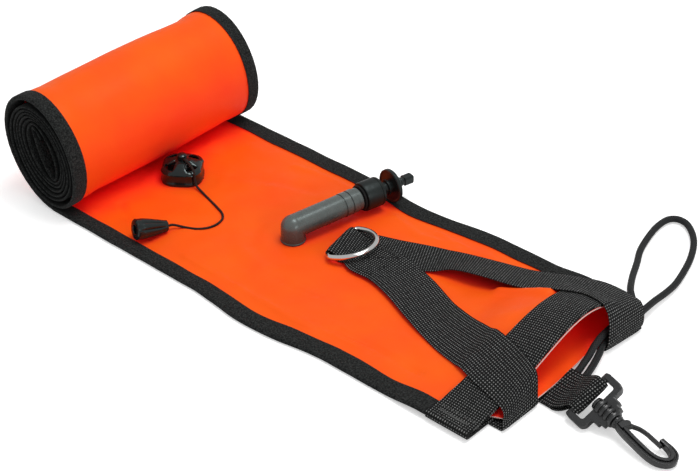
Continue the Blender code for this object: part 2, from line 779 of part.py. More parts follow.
def make_valve_body(plastic):
    insert = bore_radius - CLEAR
    bore = STEM_RADIUS + CLEAR
    profile = [(bore, body_start), (insert, body_start), (insert, seal_start),
               (VALVE_BODY_RADIUS, seal_start), (VALVE_BODY_RADIUS, body_end),
               (SPRING_BORE_RADIUS, body_end), (SPRING_BORE_RADIUS, spring_shoulder),
               (bore, spring_shoulder)]
    turned("inflator_valve_body", profile, 20, barrel_place(), plastic)


def make_inflator_seal(rubber):
    inner = VALVE_BODY_RADIUS + CLEAR
    outer = inner + SEAL_DEPTH
    profile = [(inner, seal_start), (outer - CLEAR, seal_start), (outer, seal_start + SEAL_WIDTH / 2),
               (outer - CLEAR, seal_start + SEAL_WIDTH), (inner, seal_start + SEAL_WIDTH)]
    turned("inflator_seal", profile, 20, barrel_place(), rubber)


def make_lock_ring(plastic):
    inner = VALVE_BODY_RADIUS + CLEAR
    edge = 3 * CLEAR
    profile = [(inner, lock_start), (LOCK_RING_RADIUS - edge, lock_start),
               (LOCK_RING_RADIUS, lock_start + edge),
               (LOCK_RING_RADIUS, lock_start + LOCK_RING_LENGTH - edge),
               (LOCK_RING_RADIUS - edge, lock_start + LOCK_RING_LENGTH),
               (inner, lock_start + LOCK_RING_LENGTH)]
    turned("inflator_lock_ring", profile, 3 * LOCK_RING_FLUTES, barrel_place(), plastic,
           lobes=LOCK_RING_FLUTES, depth=CLEAR / 2, lobed=(1, 2, 3, 4))


def make_plunger(plastic):
    """Mouthpiece, its guard disc, the stem and the poppet that seals the body's inner end."""
    head_top = body_start - CLEAR
    head_bottom = head_top - POPPET_LENGTH
    collar = SPRING_BORE_RADIUS - CLEAR
    collar_end = body_end - CLEAR
    collar_start = collar_end - collar_height
    tip = disc_start + MOUTH_DISC_THICKNESS + NIPPLE_LENGTH
    disc_end = disc_start + MOUTH_DISC_THICKNESS
    edge = MOUTH_DISC_THICKNESS / 4
    hole = NIPPLE_RADIUS / 2
    hole_depth = NIPPLE_LENGTH / 2
    groove = NIPPLE_RADIUS * 0.8
    profile = [
        (POPPET_RADIUS - edge, head_bottom), (POPPET_RADIUS, head_bottom + edge),
        (POPPET_RADIUS, head_top), (STEM_RADIUS, head_top), (STEM_RADIUS, collar_start),
        (collar, collar_start), (collar, collar_end), (STEM_RADIUS, collar_end),
        (STEM_RADIUS, disc_start), (MOUTH_DISC_RADIUS - edge, disc_start),
        (MOUTH_DISC_RADIUS, disc_start + edge), (MOUTH_DISC_RADIUS, disc_end - edge),
        (MOUTH_DISC_RADIUS - edge, disc_end), (NIPPLE_RADIUS, disc_end),
        (groove, disc_end + NIPPLE_LENGTH * 0.25), (NIPPLE_RADIUS, disc_end + NIPPLE_LENGTH * 0.5),
        (NIPPLE_RADIUS, tip - edge), (NIPPLE_RADIUS - edge, tip), (hole, tip),
        (hole, tip - hole_depth)]
    turned_solid("inflator_plunger", profile, 16, barrel_place(), plastic)


def helix(radius, low, high, turns, per_turn, place):
    count = round(turns * per_turn)
    found = []
    for k in range(count + 1):
        angle = 2.0 * math.pi * k / per_turn
        height = low + (high - low) * k / count
        found.append(place @ Vector((radius * math.cos(angle), radius * math.sin(angle), height)))
    return found


def make_inflator_spring(steel):
    radius = (SPRING_BORE_RADIUS + STEM_RADIUS) / 2
    low = spring_shoulder + CLEAR + SPRING_WIRE_RADIUS
    high = body_end - CLEAR - collar_height - CLEAR - SPRING_WIRE_RADIUS
    points = helix(radius, low, high, SPRING_TURNS, 8, barrel_place())
    tube("inflator_spring", points, SPRING_WIRE_RADIUS, steel, resolution=0)


# Dump valve
dump_place = Matrix.Translation((DUMP_X, DUMP_Y, 0.0))
diaphragm_z = DUMP_NECK_TOP + CLEAR
plate_z = diaphragm_z + DIAPHRAGM + CLEAR
cap_base = panel_top + CLEAR
cap_ceiling = DUMP_CAP_TOP - DUMP_CAP_ROOF
stem_hole = DUMP_STEM_RADIUS + CLEAR


def make_dump_flange(plastic):
    """Welded flange with the valve's neck, seat and the spider that guides the stem."""
    inner = DUMP_NECK_RADIUS - DUMP_NECK_WALL
    profile = [(inner, flange_z), (DUMP_FLANGE_RADIUS, flange_z), (DUMP_FLANGE_RADIUS, flange_top),
               (DUMP_NECK_RADIUS, flange_top), (DUMP_NECK_RADIUS, DUMP_NECK_TOP - 2 * CLEAR),
               (DUMP_NECK_RADIUS - 2 * CLEAR, DUMP_NECK_TOP), (inner, DUMP_NECK_TOP)]
    flange = turned("dump_flange", profile, 24, dump_place, plastic)
    reach = DUMP_NECK_RADIUS - DUMP_NECK_WALL / 2
    low = flange_top
    high = flange_top + SPIDER_THICKNESS
    half = SPIDER_WIDTH / 2
    for name, x, y in (("spoke_x", reach, half), ("spoke_y", half, reach)):
        spoke = block(name, (-x, -y, low), (x, y, high), dump_place, plastic)
        boolean(flange, spoke, "UNION")
    hub_radius = stem_hole + SPIDER_WIDTH / 2
    grow = CLEAR / 2
    hub = turned_solid("spider_hub", [(hub_radius, low - grow), (hub_radius, high + 4 * CLEAR)], 16,
                       dump_place, plastic)
    boolean(flange, hub, "UNION")
    guide = turned_solid("stem_guide", [(stem_hole, -FLANGE), (stem_hole, DUMP_NECK_TOP)], 16,
                         dump_place, plastic)
    boolean(flange, guide, "DIFFERENCE")


def make_diaphragm(rubber):
    outer = DUMP_NECK_RADIUS - 3 * CLEAR
    profile = [(stem_hole, diaphragm_z), (outer, diaphragm_z), (outer, diaphragm_z + DIAPHRAGM),
               (stem_hole, diaphragm_z + DIAPHRAGM)]
    turned("dump_diaphragm", profile, 24, dump_place, rubber)


def make_dump_stem(plastic):
    """Stem with its spring plate and, above the cap, the knob that the cord is tied to."""
    knob = DUMP_CAP_TOP + CLEAR
    profile = [
        (DUMP_STEM_RADIUS, flange_z), (DUMP_STEM_RADIUS, plate_z), (STEM_PLATE_RADIUS, plate_z),
        (STEM_PLATE_RADIUS, plate_z + STEM_PLATE), (DUMP_STEM_RADIUS, plate_z + STEM_PLATE),
        (DUMP_STEM_RADIUS, knob), (STEM_KNOB_RADIUS, knob + STEM_KNOB_HEIGHT * 0.3),
        (STEM_KNOB_RADIUS, knob + STEM_KNOB_HEIGHT * 0.7), (DUMP_STEM_RADIUS, knob + STEM_KNOB_HEIGHT)]
    turned_solid("dump_stem", profile, 16, dump_place, plastic)


def make_dump_spring(steel):
    wire = DUMP_SPRING_WIRE_RADIUS
    low = plate_z + STEM_PLATE + CLEAR + wire
    high = cap_ceiling - CLEAR - wire
    radius = STEM_PLATE_RADIUS - wire - CLEAR
    tube("dump_spring", helix(radius, low, high, DUMP_SPRING_TURNS, 10, dump_place), wire, steel, resolution=0)


def make_dump_cap(plastic):
    """Lobed cap with four windows between the arms of a cross."""
    turn = dump_place @ Matrix.Rotation(math.radians(45.0 + 12.0), 4, "Z")
    shoulder = DUMP_CAP_TOP - DUMP_CAP_ROOF * 1.6
    profile = [(DUMP_CAP_RADIUS - 2 * CLEAR, cap_base), (DUMP_CAP_RADIUS, cap_base + 2 * CLEAR),
               (DUMP_CAP_RADIUS * 0.985, shoulder), (DUMP_CAP_RADIUS * 0.93, DUMP_CAP_TOP - DUMP_CAP_ROOF * 0.7),
               (DUMP_CAP_RADIUS * 0.80, DUMP_CAP_TOP - DUMP_CAP_ROOF * 0.2),
               (stem_hole * 3.2, DUMP_CAP_TOP - DUMP_CAP_ROOF * 0.1), (stem_hole * 2.0, DUMP_CAP_TOP)]
    cap = turned_solid("dump_cap", profile, 32, turn, plastic, lobes=CAP_LOBES, depth=DUMP_CAP_LOBE,
                       lobed=(0, 1, 2, 3, 4))
    cap.modifiers.new("triangles", "TRIANGULATE")
    cavity_radius = DUMP_NECK_RADIUS + CLEAR
    below = cap_base - FLANGE
    above = DUMP_CAP_TOP + FLANGE
    cavity = turned_solid("cap_cavity", [(cavity_radius, below), (cavity_radius, cap_ceiling)], 24,
                          turn, plastic)
    boolean(cap, cavity, "DIFFERENCE")
    centre = turned_solid("cap_stem_hole", [(stem_hole, below), (stem_hole, above)], 16, turn, plastic)
    boolean(cap, centre, "DIFFERENCE")
    for k in range(CAP_LOBES):
        aim = 360.0 / CAP_LOBES * k
        wide = 28.0
        outline = arc((0.0, 0.0), DUMP_WINDOW_OUTER, aim - wide, aim + wide, 4)
        outline += arc((0.0, 0.0), DUMP_WINDOW_INNER, aim + 10.0, aim - 10.0, 1)
        window = plate("cap_window_%d" % k, outline, cap_ceiling - FLANGE, above, turn, plastic)
        boolean(cap, window, "DIFFERENCE")


# Pull cord
toggle_small_end = Vector((-0.0595, -0.0435, panel_top + 2 * CLEAR + TOGGLE_SMALL_RADIUS))
toggle_heading = math.radians(-119.5)
toggle_drop = stack + CLEAR + TOGGLE_BIG_RADIUS + TOGGLE_GROOVE - toggle_small_end.z
toggle_flat = math.sqrt(TOGGLE_LENGTH ** 2 - toggle_drop ** 2)
toggle_way = Vector((math.cos(toggle_heading) * toggle_flat, math.sin(toggle_heading) * toggle_flat,
                     toggle_drop)) / TOGGLE_LENGTH
cord_rest = panel_top + CLEAR + CORD_DIAMETER / 2
cord_knob = DUMP_CAP_TOP + CLEAR + STEM_KNOB_HEIGHT / 2

# The cord leaves the knob, drops over the cap's edge and crosses the panel to the toggle
CAP_HEADING = math.radians(-15.0)
CAP_STRETCH = [(0.0026, 0.0), (0.0062, 0.0001), (0.0105, -0.0006), (0.0131, -0.0016),
               (0.0146, -0.0039), (0.0150, -0.0080), (0.0168, -0.0112)]
PANEL_STRETCH = [(-0.0695, -0.0074), (-0.0610, -0.0100), (-0.0516, -0.0128), (-0.0450, -0.0153),
                 (-0.0408, -0.0192), (-0.0393, -0.0250), (-0.0405, -0.0310), (-0.0445, -0.0360),
                 (-0.0505, -0.0392)]


def cord_stations():
    found = []
    for reach, rise in CAP_STRETCH:
        found.append(Vector((DUMP_X + reach * math.cos(CAP_HEADING),
                             DUMP_Y + reach * math.sin(CAP_HEADING), cord_knob + rise)))
    found += [Vector((x, y, cord_rest)) for x, y in PANEL_STRETCH]
    found.append(toggle_small_end - toggle_way * 0.004)
    found.append(toggle_small_end)
    found.append(toggle_small_end + toggle_way * (TOGGLE_LENGTH - 3 * KNOT_RADIUS - CLEAR))
    return found


def toggle_place():
    side = Vector((0.0, 0.0, 1.0)).cross(toggle_way).normalized()
    up = toggle_way.cross(side)
    turn = Matrix((side, up, toggle_way)).transposed()
    return Matrix.Translation(toggle_small_end) @ turn.to_4x4()


def make_cord(rope):
    tube("dump_cord", curve_through(cord_stations(), 2), CORD_DIAMETER / 2, rope)


def make_toggle(plastic):
    bore = CORD_DIAMETER / 2 + CLEAR
    recess = KNOT_RADIUS + 2 * CLEAR
    recess_start = TOGGLE_LENGTH - 3 * KNOT_RADIUS
    profile = [(bore, 0.0), (TOGGLE_SMALL_RADIUS - 2 * CLEAR, 0.0),
               (TOGGLE_SMALL_RADIUS, TOGGLE_LENGTH * 0.04),
               (TOGGLE_BIG_RADIUS * 0.74, TOGGLE_LENGTH * 0.45),
               (TOGGLE_BIG_RADIUS * 0.96, TOGGLE_LENGTH * 0.8),
               (TOGGLE_BIG_RADIUS, TOGGLE_LENGTH * 0.95),
               (TOGGLE_BIG_RADIUS - 2 * CLEAR, TOGGLE_LENGTH),
               (recess, TOGGLE_LENGTH), (recess, recess_start), (bore, recess_start)]
    turned("pull_toggle", profile, 3 * TOGGLE_LOBES, toggle_place(), plastic, lobes=TOGGLE_LOBES,
           depth=TOGGLE_GROOVE, lobed=(2, 3, 4))


def make_knot(rope):
    centre = TOGGLE_LENGTH - 2 * KNOT_RADIUS + CLEAR
    profile = []
    for k in range(6):
        turn = math.radians(-75.0 + 30.0 * k)
        profile.append((KNOT_RADIUS * math.cos(turn), centre + KNOT_RADIUS * math.sin(turn)))
    turned_solid("cord_knot", profile, 12, toggle_place(), rope)


# Snap and its tab
snap_turn = (Matrix.Translation((BAR_X, SNAP_Y, SNAP_Z)) @ Matrix.Rotation(SNAP_YAW, 4, "Z")
             @ Matrix.Rotation(SNAP_PITCH, 4, "Y"))
snap_place = snap_turn @ Matrix.Rotation(SNAP_ROLL, 4, "X")
hook_place = snap_turn @ Matrix.Rotation(HOOK_ROLL, 4, "X")
slot_half = TAB_FOLD_WIDTH / 2 + SLOT_MARGIN
slot_end = BAR_RADIUS + SLOT_LENGTH
frame_end = slot_end + CROSS_BAR
frame_half = slot_half + FRAME_SIDE
hub_start = slot_end + CLEAR
hub_end = hub_start + HUB_LENGTH
post_hole = POST_RADIUS + CLEAR

# The tab's two edges between the lip and the bar: its lower layer going out, its upper layer back
TAB_OUT = [
    ((0.1900, -0.0255, 0.0006), (0.1900, -0.0005, 0.0006)),
    ((0.1975, -0.0258, 0.0006), (0.2010, -0.0014, 0.0010)),
    ((0.2015, -0.0242, 0.0014), (0.2067, -0.0035, 0.0088)),
]
TAB_BACK = [
    ((0.2010, -0.0256, 0.0046), (0.2054, -0.0050, 0.0142)),
    ((0.1970, -0.0260, 0.0027), (0.2006, -0.0030, 0.0100)),
    ((0.1932, -0.0257, 0.0021), (0.1955, -0.0012, 0.0079)),
    ((0.1896, -0.0255, 0.0021), (0.1896, -0.0005, 0.0077)),
]
TAB_COLUMNS = 4


def make_snap_tab(webbing):
    """Webbing sewn under the mouth, round the frame's bar and back over the bungee's ends."""
    loop = BAR_RADIUS + CLEAR + WEB / 2
    edge = TAB_FOLD_WIDTH / 2
    sewn = [Vector((band_start - RISE_SETBACK, y, WEB / 2))
            for y in (TAB_Y - TAB_WEB_WIDTH / 2, TAB_Y + TAB_WEB_WIDTH / 2)]
    pairs = [sewn] + [[Vector(low), Vector(high)] for low, high in TAB_OUT]
    pairs.append([snap_place @ Vector((-loop, y, -loop)) for y in (-edge, edge)])
    for angle in range(-90, 91, 30):
        turn = math.radians(angle)
        pairs.append([snap_place @ Vector((loop * math.cos(turn), y, loop * math.sin(turn)))
                      for y in (-edge, edge)])
    pairs.append([snap_place @ Vector((-loop, y, BAR_RADIUS)) for y in (-edge, edge)])
    pairs += [[Vector(low), Vector(high)] for low, high in TAB_BACK]
    sheet("snap_tab", [spread(low, high, TAB_COLUMNS) for low, high in pairs], WEB, webbing)


def make_snap_frame(plastic):
    """Webbing slot, cross bar, shoulders and the ribbed hub that the post turns in."""
    low = -FRAME_THICKNESS / 2
    high = FRAME_THICKNESS / 2
    corner = FRAME_SIDE
    outline = [(0.0, frame_half)]
    outline += arc((frame_end - corner, frame_half - corner), corner, 90, 0, 4)
    outline += [(frame_end, SHOULDER_WIDTH / 2), (frame_end + SHOULDER_LENGTH, SHOULDER_WIDTH / 2)]
    lower = [(x, -y) for x, y in reversed(outline)]
    body = plate("snap_frame", outline + lower, low, high, snap_place, plastic)
    slot = block("frame_slot", (-2 * BAR_RADIUS, -slot_half, low - FLANGE),
                 (slot_end, slot_half, high + FLANGE), snap_place, plastic)
    boolean(body, slot, "DIFFERENCE")
    upright = snap_place @ Matrix.Rotation(math.radians(-90.0), 4, "X")
    reach = frame_half - CLEAR
    rounded = [(BAR_RADIUS * 0.7, -reach), (BAR_RADIUS, BAR_RADIUS * 0.3 - reach),
               (BAR_RADIUS, reach - BAR_RADIUS * 0.3), (BAR_RADIUS * 0.7, reach)]
    bar = turned_solid("frame_bar", rounded, 16, upright, plastic)
    boolean(body, bar, "UNION")
    along = snap_place @ Matrix.Rotation(math.radians(90.0), 4, "Y")
    rib = HUB_LENGTH / HUB_RIBS
    profile = []
    for k in range(HUB_RIBS):
        start = hub_start + rib * k
        inner = HUB_RADIUS - HUB_RIB_DEPTH
        profile += [(inner, start), (inner, start + rib * 0.2), (HUB_RADIUS, start + rib * 0.3),
                    (HUB_RADIUS, start + rib * 0.9)]
    profile.append((HUB_RADIUS - HUB_RIB_DEPTH, hub_end))
    hub = turned_solid("snap_hub", profile, 16, along, plastic)
    boolean(body, hub, "UNION")
    reach = (slot_end - POST_HEAD, hub_end + FLANGE)
    bore = turned_solid("post_bore", [(post_hole, z) for z in reach], 16, along, plastic)
    boolean(body, bore, "DIFFERENCE")


# Middle line of the hook, from the collar round the bow to the nose, in the hook's own plane
HOOK_ROUTE = [
    (0.0222, -0.0006), (0.0262, -0.0016), (0.0320, -0.0021), (0.0385, -0.0023), (0.0450, -0.0022),
    (0.0497, -0.0010), (0.0529, 0.0018), (0.0538, 0.0052), (0.0518, 0.0083), (0.0483, 0.0095),
    (0.0448, 0.0096), (0.0414, 0.0095),
]
# Middle line of the gate's blade, from its pivot to its tip behind the nose
GATE_ROUTE = [
    (0.0272, 0.0045), (0.0302, 0.0062), (0.0345, 0.0071), (0.0392, 0.0072), (0.0442, 0.0072),
]
GATE_PIVOT = (0.0250, 0.0024)
gate_reach = GATE_HEIGHT / 2 + CLEAR
pin_top = gate_reach + EAR_THICKNESS / 2
pin_bottom = gate_reach + EAR_THICKNESS


def make_snap_hook(plastic):
    """Post with its head, collar, hook and the two ears that hold the gate's pin."""
    along = hook_place @ Matrix.Rotation(math.radians(90.0), 4, "Y")
    head_start = slot_end - CLEAR - POST_HEAD
    collar_start = hub_end + CLEAR
    collar_end = collar_start + HOOK_COLLAR
    profile = [(POST_HEAD_RADIUS - CLEAR, head_start), (POST_HEAD_RADIUS, head_start + POST_HEAD / 2),
               (POST_HEAD_RADIUS, head_start + POST_HEAD), (POST_RADIUS, head_start + POST_HEAD),
               (POST_RADIUS, collar_start), (HOOK_COLLAR_RADIUS, collar_start),
               (HOOK_COLLAR_RADIUS, collar_end), (HOOK_COLLAR_RADIUS / 2, collar_end + 2 * CLEAR)]
    hook = turned_solid("snap_hook", profile, 16, along, plastic)
    centres = curve_through([Vector((x, y, 0.0)) for x, y in HOOK_ROUTE], 2)
    rings = []
    last = len(centres) - 1
    for i, centre in enumerate(centres):
        way = (centres[min(i + 1, last)] - centres[max(i - 1, 0)]).normalized()
        side = Vector((-way.y, way.x, 0.0))
        slim = smooth((i / last - 0.7) / 0.25)
        width = HOOK_WIDTH + (NOSE_WIDTH - HOOK_WIDTH) * slim
        ring = []
        for k in range(8):
            turn = 2.0 * math.pi * (k + 0.5) / 8
            offset = side * math.cos(turn) * width / 2
            offset.z = math.sin(turn) * HOOK_HEIGHT / 2
            ring.append(hook_place @ (centre + offset))
        rings.append(ring)
    boolean(hook, loft("hook_bow", rings, plastic), "UNION")
    place = hook_place @ Matrix.Translation((*GATE_PIVOT, 0.0))
    foot = GATE_PIVOT[1] + HOOK_WIDTH / 2
    for name, sign in (("ear_top", 1), ("ear_bottom", -1)):
        heights = sorted((sign * gate_reach, sign * (gate_reach + EAR_THICKNESS)))
        outline = arc((0.0, 0.0), GATE_EYE_RADIUS, -30, 150, 6)
        outline += [(-1.5 * GATE_EYE_RADIUS, -foot / 4), (-1.2 * GATE_EYE_RADIUS, -foot),
                    (0.7 * GATE_EYE_RADIUS, -foot)]
        ear = plate(name, outline, heights[0], heights[1], place, plastic)
        boolean(hook, ear, "UNION")
    room = plate("gate_room", arc((0.0, 0.0), GATE_EYE_RADIUS + CLEAR, 0, 337.5, 15), -gate_reach,
                 gate_reach, place, plastic)
    boolean(hook, room, "DIFFERENCE")
    pin_hole = GATE_PIN_RADIUS + CLEAR
    bore = turned_solid("pin_bore", [(pin_hole, -2 * HOOK_HEIGHT), (pin_hole, pin_top + CLEAR)], 12,
                        place, plastic)
    boolean(hook, bore, "DIFFERENCE")


def make_snap_gate(plastic):
    """Thin curved blade that closes the hook, its tip behind the hook's nose."""
    place = hook_place @ Matrix.Translation((*GATE_PIVOT, 0.0))
    pivot = Vector((*GATE_PIVOT, 0.0))
    line = [Vector((x, y, 0.0)) - pivot for x, y in GATE_ROUTE]
    inner = []
    outer = []
    last = len(line) - 1
    for i, point in enumerate(line):
        way = (line[min(i + 1, last)] - line[max(i - 1, 0)]).normalized()
        side = Vector((-way.y, way.x, 0.0)) * GATE_BLADE / 2
        inner.append(tuple((point - side).xy))
        outer.append(tuple((point + side).xy))
    outline = arc((0.0, 0.0), GATE_EYE_RADIUS, 130, 330, 8) + inner + outer[::-1]
    half = GATE_HEIGHT / 2
    gate = plate("snap_gate", outline, -half, half, place, plastic)
    hole = GATE_PIN_RADIUS + CLEAR
    bore = turned_solid("gate_bore", [(hole, -2 * half), (hole, 2 * half)], 12, place, plastic)
    boolean(gate, bore, "DIFFERENCE")


def make_gate_pin(steel):
    place = hook_place @ Matrix.Translation((*GATE_PIVOT, 0.0))
    turned_solid("gate_pin", [(GATE_PIN_RADIUS, -pin_bottom), (GATE_PIN_RADIUS, pin_top)], 12, place,
                 steel)


# Bungee: from the tab through the far strap's loop, round on the ground and back
bungee_radius = BUNGEE_DIAMETER / 2
between = WEB + CLEAR + bungee_radius
ground = bungee_radius + CLEAR
BUNGEE_ROUTE = [
    (0.1959, -0.0060, between), (0.1959, -0.0005, between), (0.1958, 0.0042, 0.0038),
    (0.1944, 0.0105, 0.0042), (0.1926, 0.0167, 0.0044), (0.1906, 0.0225, 0.0046),
    (0.1876, 0.0298, 0.0050), (0.1860, 0.0390, 0.0052), (0.1866, 0.0490, 0.0052), (0.1888, 0.0590, 0.0050),
    (0.1905, 0.0690, 0.0044), (0.1900, 0.0800, 0.0034), (0.1870, 0.0930, 0.0026),
    (0.1820, 0.1060, ground), (0.1760, 0.1200, ground), (0.1695, 0.1335, ground),
    (0.1630, 0.1430, ground), (0.1550, 0.1500, ground), (0.1475, 0.1515, ground),
    (0.1420, 0.1470, ground), (0.1408, 0.1390, ground), (0.1430, 0.1280, ground),
    (0.1475, 0.1150, 0.0028), (0.1530, 0.1010, 0.0048), (0.1590, 0.0890, 0.0072),
    (0.1670, 0.0790, 0.0087), (0.1755, 0.0722, 0.0091), (0.1822, 0.0660, 0.0093),
    (0.1853, 0.0590, 0.0096), (0.1860, 0.0500, 0.0098), (0.1862, 0.0400, 0.0098),
    (0.1866, 0.0300, 0.0094), (0.1873, 0.0228, 0.0078), (0.1886, 0.0167, 0.0060),
    (0.1897, 0.0105, 0.0048), (0.1908, 0.0042, 0.0039), (0.1909, -0.0005, between),
    (0.1909, -0.0060, between),
]


def make_bungee(elastic):
    points = curve_through([Vector(p) for p in BUNGEE_ROUTE], 1)
    tube("bungee_loop", points, bungee_radius, elastic, resolution=2)


def build():
    for obj in list(bpy.data.objects):
        bpy.data.objects.remove(obj, do_unlink=True)
    orange = material("coated nylon", (0.95, 0.10, 0.01), 0.45)
    tape = material("edge tape", (0.022, 0.024, 0.023), 0.85)
    webbing = material("nylon webbing", (0.018, 0.018, 0.019), 0.75)
    gloss = material("gloss black plastic", (0.010, 0.010, 0.010), 0.22)
    grey = material("grey plastic", (0.075, 0.085, 0.085), 0.38)
    dark = material("dark grey plastic", (0.030, 0.032, 0.033), 0.45)
    acetal = material("black acetal", (0.020, 0.020, 0.021), 0.42)
    rubber = material("black rubber", (0.012, 0.012, 0.012), 0.60)
    steel = material("polished steel", (0.62, 0.61, 0.60), 0.12, 1.0)
    rope = material("thin black cord", (0.020, 0.012, 0.010), 0.70)
    elastic = material("black elastic", (0.025, 0.026, 0.026), 0.65)

    make_front_panel(orange)
    make_back_panel(orange)
    make_edge_tapes(tape)
    make_rolled_panels(orange)
    make_end_tape(tape)
    make_mouth_band(webbing)
    make_near_leg(webbing)
    make_far_leg(webbing)
    make_d_ring(steel)

    make_inflator_flange(dark)
    make_elbow(grey)
    make_valve_body(dark)
    make_inflator_seal(rubber)
    make_lock_ring(dark)
    make_plunger(acetal)
    make_inflator_spring(steel)

    make_dump_flange(dark)
    make_diaphragm(rubber)
    make_dump_stem(gloss)
    make_dump_spring(steel)
    make_dump_cap(gloss)
    make_cord(rope)
    make_toggle(gloss)
    make_knot(rope)

    make_snap_tab(webbing)
    make_snap_frame(acetal)
    make_snap_hook(acetal)
    make_snap_gate(acetal)
    make_gate_pin(steel)
    make_bungee(elastic)


build()
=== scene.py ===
"""A diver's surface marker buoy on a white ground, seen from above its snap's end."""

import json
import math

import bmesh
import bpy
import numpy as np
from mathutils import Matrix, Vector, noise


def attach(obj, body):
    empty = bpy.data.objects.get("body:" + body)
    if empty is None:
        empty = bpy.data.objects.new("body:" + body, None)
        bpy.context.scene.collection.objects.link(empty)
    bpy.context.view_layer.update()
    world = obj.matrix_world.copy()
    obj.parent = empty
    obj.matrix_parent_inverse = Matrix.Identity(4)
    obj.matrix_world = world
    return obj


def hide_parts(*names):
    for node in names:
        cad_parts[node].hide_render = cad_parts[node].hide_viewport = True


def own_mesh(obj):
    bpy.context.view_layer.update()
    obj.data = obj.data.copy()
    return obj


# Camera
PHOTO_WIDTH = 700
FOCAL_PIXELS = 1850
SENSOR_WIDTH = 36.0
CAMERA_PLACE = Vector((0.59453, -0.61672, 0.58960))
CAMERA_AIM = Vector((0.0205, 0.0208, 0.0))
GROUND_SIZE = 6.0
GROUND_Z = -0.0002
GROUND_GLOW = 0.42
WORLD_STRENGTH = 0.56
KEY_POWER = 8.5
MOUTH_FILL_POWER = 4.0

# Sizes in metres, the same as in the solids: cloth, tape and webbing
CLEAR = 0.0003
BUOY_WIDTH = 0.146
FABRIC = 0.0004
TAPE = 0.0006
TAPE_LAP = 0.011
WEB = 0.0012
BRIDLE_WEB_WIDTH = 0.0285
BRIDLE_FOLD_WIDTH = 0.026
TAB_WEB_WIDTH = 0.025
TAB_FOLD_WIDTH = 0.0205

# The tube's course, its mouth and the band
ROLL_Y = -0.002
SWAY_X = 0.040
SWAY_REACH = 0.050
SWAY_DIP = 0.0045
BACK_MOUTH_X = 0.188
FRONT_MOUTH_X = 0.182
BAND_SETBACK = 0.001
BAND_WIDTH = 0.026
ARCH_HEIGHT = 0.0205
ARCH_LENGTH = 0.096
ARCH_SKEW = 1.67
RISE_LENGTH = 0.025
RISE_SETBACK = 0.005
FLAT_MARGIN = 0.008
FLAT_RAMP = 0.008
BAND_RAMP = 0.006

# The roll
ROLL_X = -0.1282
ROLL_LEAN = math.radians(29.0)
OUTER_LONG = 0.0348
OUTER_SHORT = 0.0273
LANDING = 0.0040
LANDING_SHORT = 0.0030
LOOSE_TURNS = 1.45
DRAW_IN_START = 0.95

# Valves and what hangs on them
INFLATOR_X = 0.0025
INFLATOR_Y = -0.005
DUMP_X = -0.091
DUMP_Y = -0.002
FLANGE = 0.0012
INFLATOR_HEADING = math.radians(77.6)
BARREL_HEIGHT = 0.013
BARREL_RADIUS = 0.007
BARREL_LENGTH = 0.0435
VALVE_BODY_INSERT = 0.0115
VALVE_BODY_RADIUS = 0.0055
SEAL_WIDTH = 0.0012
LOCK_RING_RADIUS = 0.0085
LOCK_RING_LENGTH = 0.0122
STEM_RADIUS = 0.0029
SPRING_BORE_RADIUS = 0.0045
NECK_LENGTH = 0.0075
MOUTH_DISC_RADIUS = 0.010
MOUTH_DISC_THICKNESS = 0.0025
NIPPLE_RADIUS = 0.003
NIPPLE_LENGTH = 0.0135
POPPET_RADIUS = 0.0043
POPPET_LENGTH = 0.004
DUMP_CAP_RADIUS = 0.0129
DUMP_CAP_TOP = 0.0146
SPRING_WIRE_RADIUS = 0.00035
DUMP_SPRING_WIRE_RADIUS = 0.0002
STEM_KNOB_HEIGHT = 0.002
CORD_DIAMETER = 0.0014
BUNGEE_DIAMETER = 0.0038
CAP_HEADING = math.radians(-15.0)
TOGGLE_SMALL_RADIUS = 0.0033
TOGGLE_BIG_RADIUS = 0.006
TOGGLE_GROOVE = 0.0004
KNOT_RADIUS = 0.002

# D-ring
RING_X = 0.0273
RING_Y = 0.0062
RING_TURN = math.radians(12.2)
RING_TILT = math.radians(12.0)
RING_CORNER = 0.0025
RING_STRETCH = 1.1
RING_WIRE_RADIUS = 0.0015

# The snap and its tab
BAR_X = 0.2109
SNAP_Y = -0.0157
SNAP_Z = 0.0110
SNAP_YAW = math.radians(-11.0)
SNAP_PITCH = math.radians(9.0)
SNAP_ROLL = math.radians(33.0)
TAB_Y = -0.013
BAR_RADIUS = 0.002
FRAME_THICKNESS = 0.0044
FRAME_SIDE = 0.0036
SLOT_LENGTH = 0.0057
SLOT_MARGIN = 0.0008
CROSS_BAR = 0.0037
HUB_RADIUS = 0.0046
HUB_LENGTH = 0.0118
HUB_RIBS = 4
SHOULDER_WIDTH = 0.0158
SHOULDER_LENGTH = 0.0070
POST_RADIUS = 0.0023
POST_HEAD_RADIUS = 0.0034
POST_HEAD = 0.0018
HOOK_COLLAR_RADIUS = 0.0036
HOOK_COLLAR = 0.0026
HOOK_WIDTH = 0.0044
HOOK_HEIGHT = 0.0044
NOSE_WIDTH = 0.0024
GATE_BLADE = 0.0013
GATE_HEIGHT = 0.0024
GATE_EYE_RADIUS = 0.0017
EAR_THICKNESS = 0.0010

# Sizes that differ from the solids', or that only this file names
BACK_MOUTH_RECESS = 0.0040
NEAR_CORNER_RECESS = 0.0140
NEAR_CORNER_START = 0.0475
NEAR_CORNER_RAMP = 0.0090
BARREL_BORE = 0.005
ELBOW_SHIFT = 0.0013
ELBOW_SINK = 0.0016
DUMP_CAP_WALL = 0.0013
DUMP_SPRING_LOW = 0.0097
DUMP_SPRING_HIGH = 0.0125
TOGGLE_LENGTH = 0.0195
TOGGLE_FLUTES = 8
TOGGLE_HEADING = math.radians(-111.9)

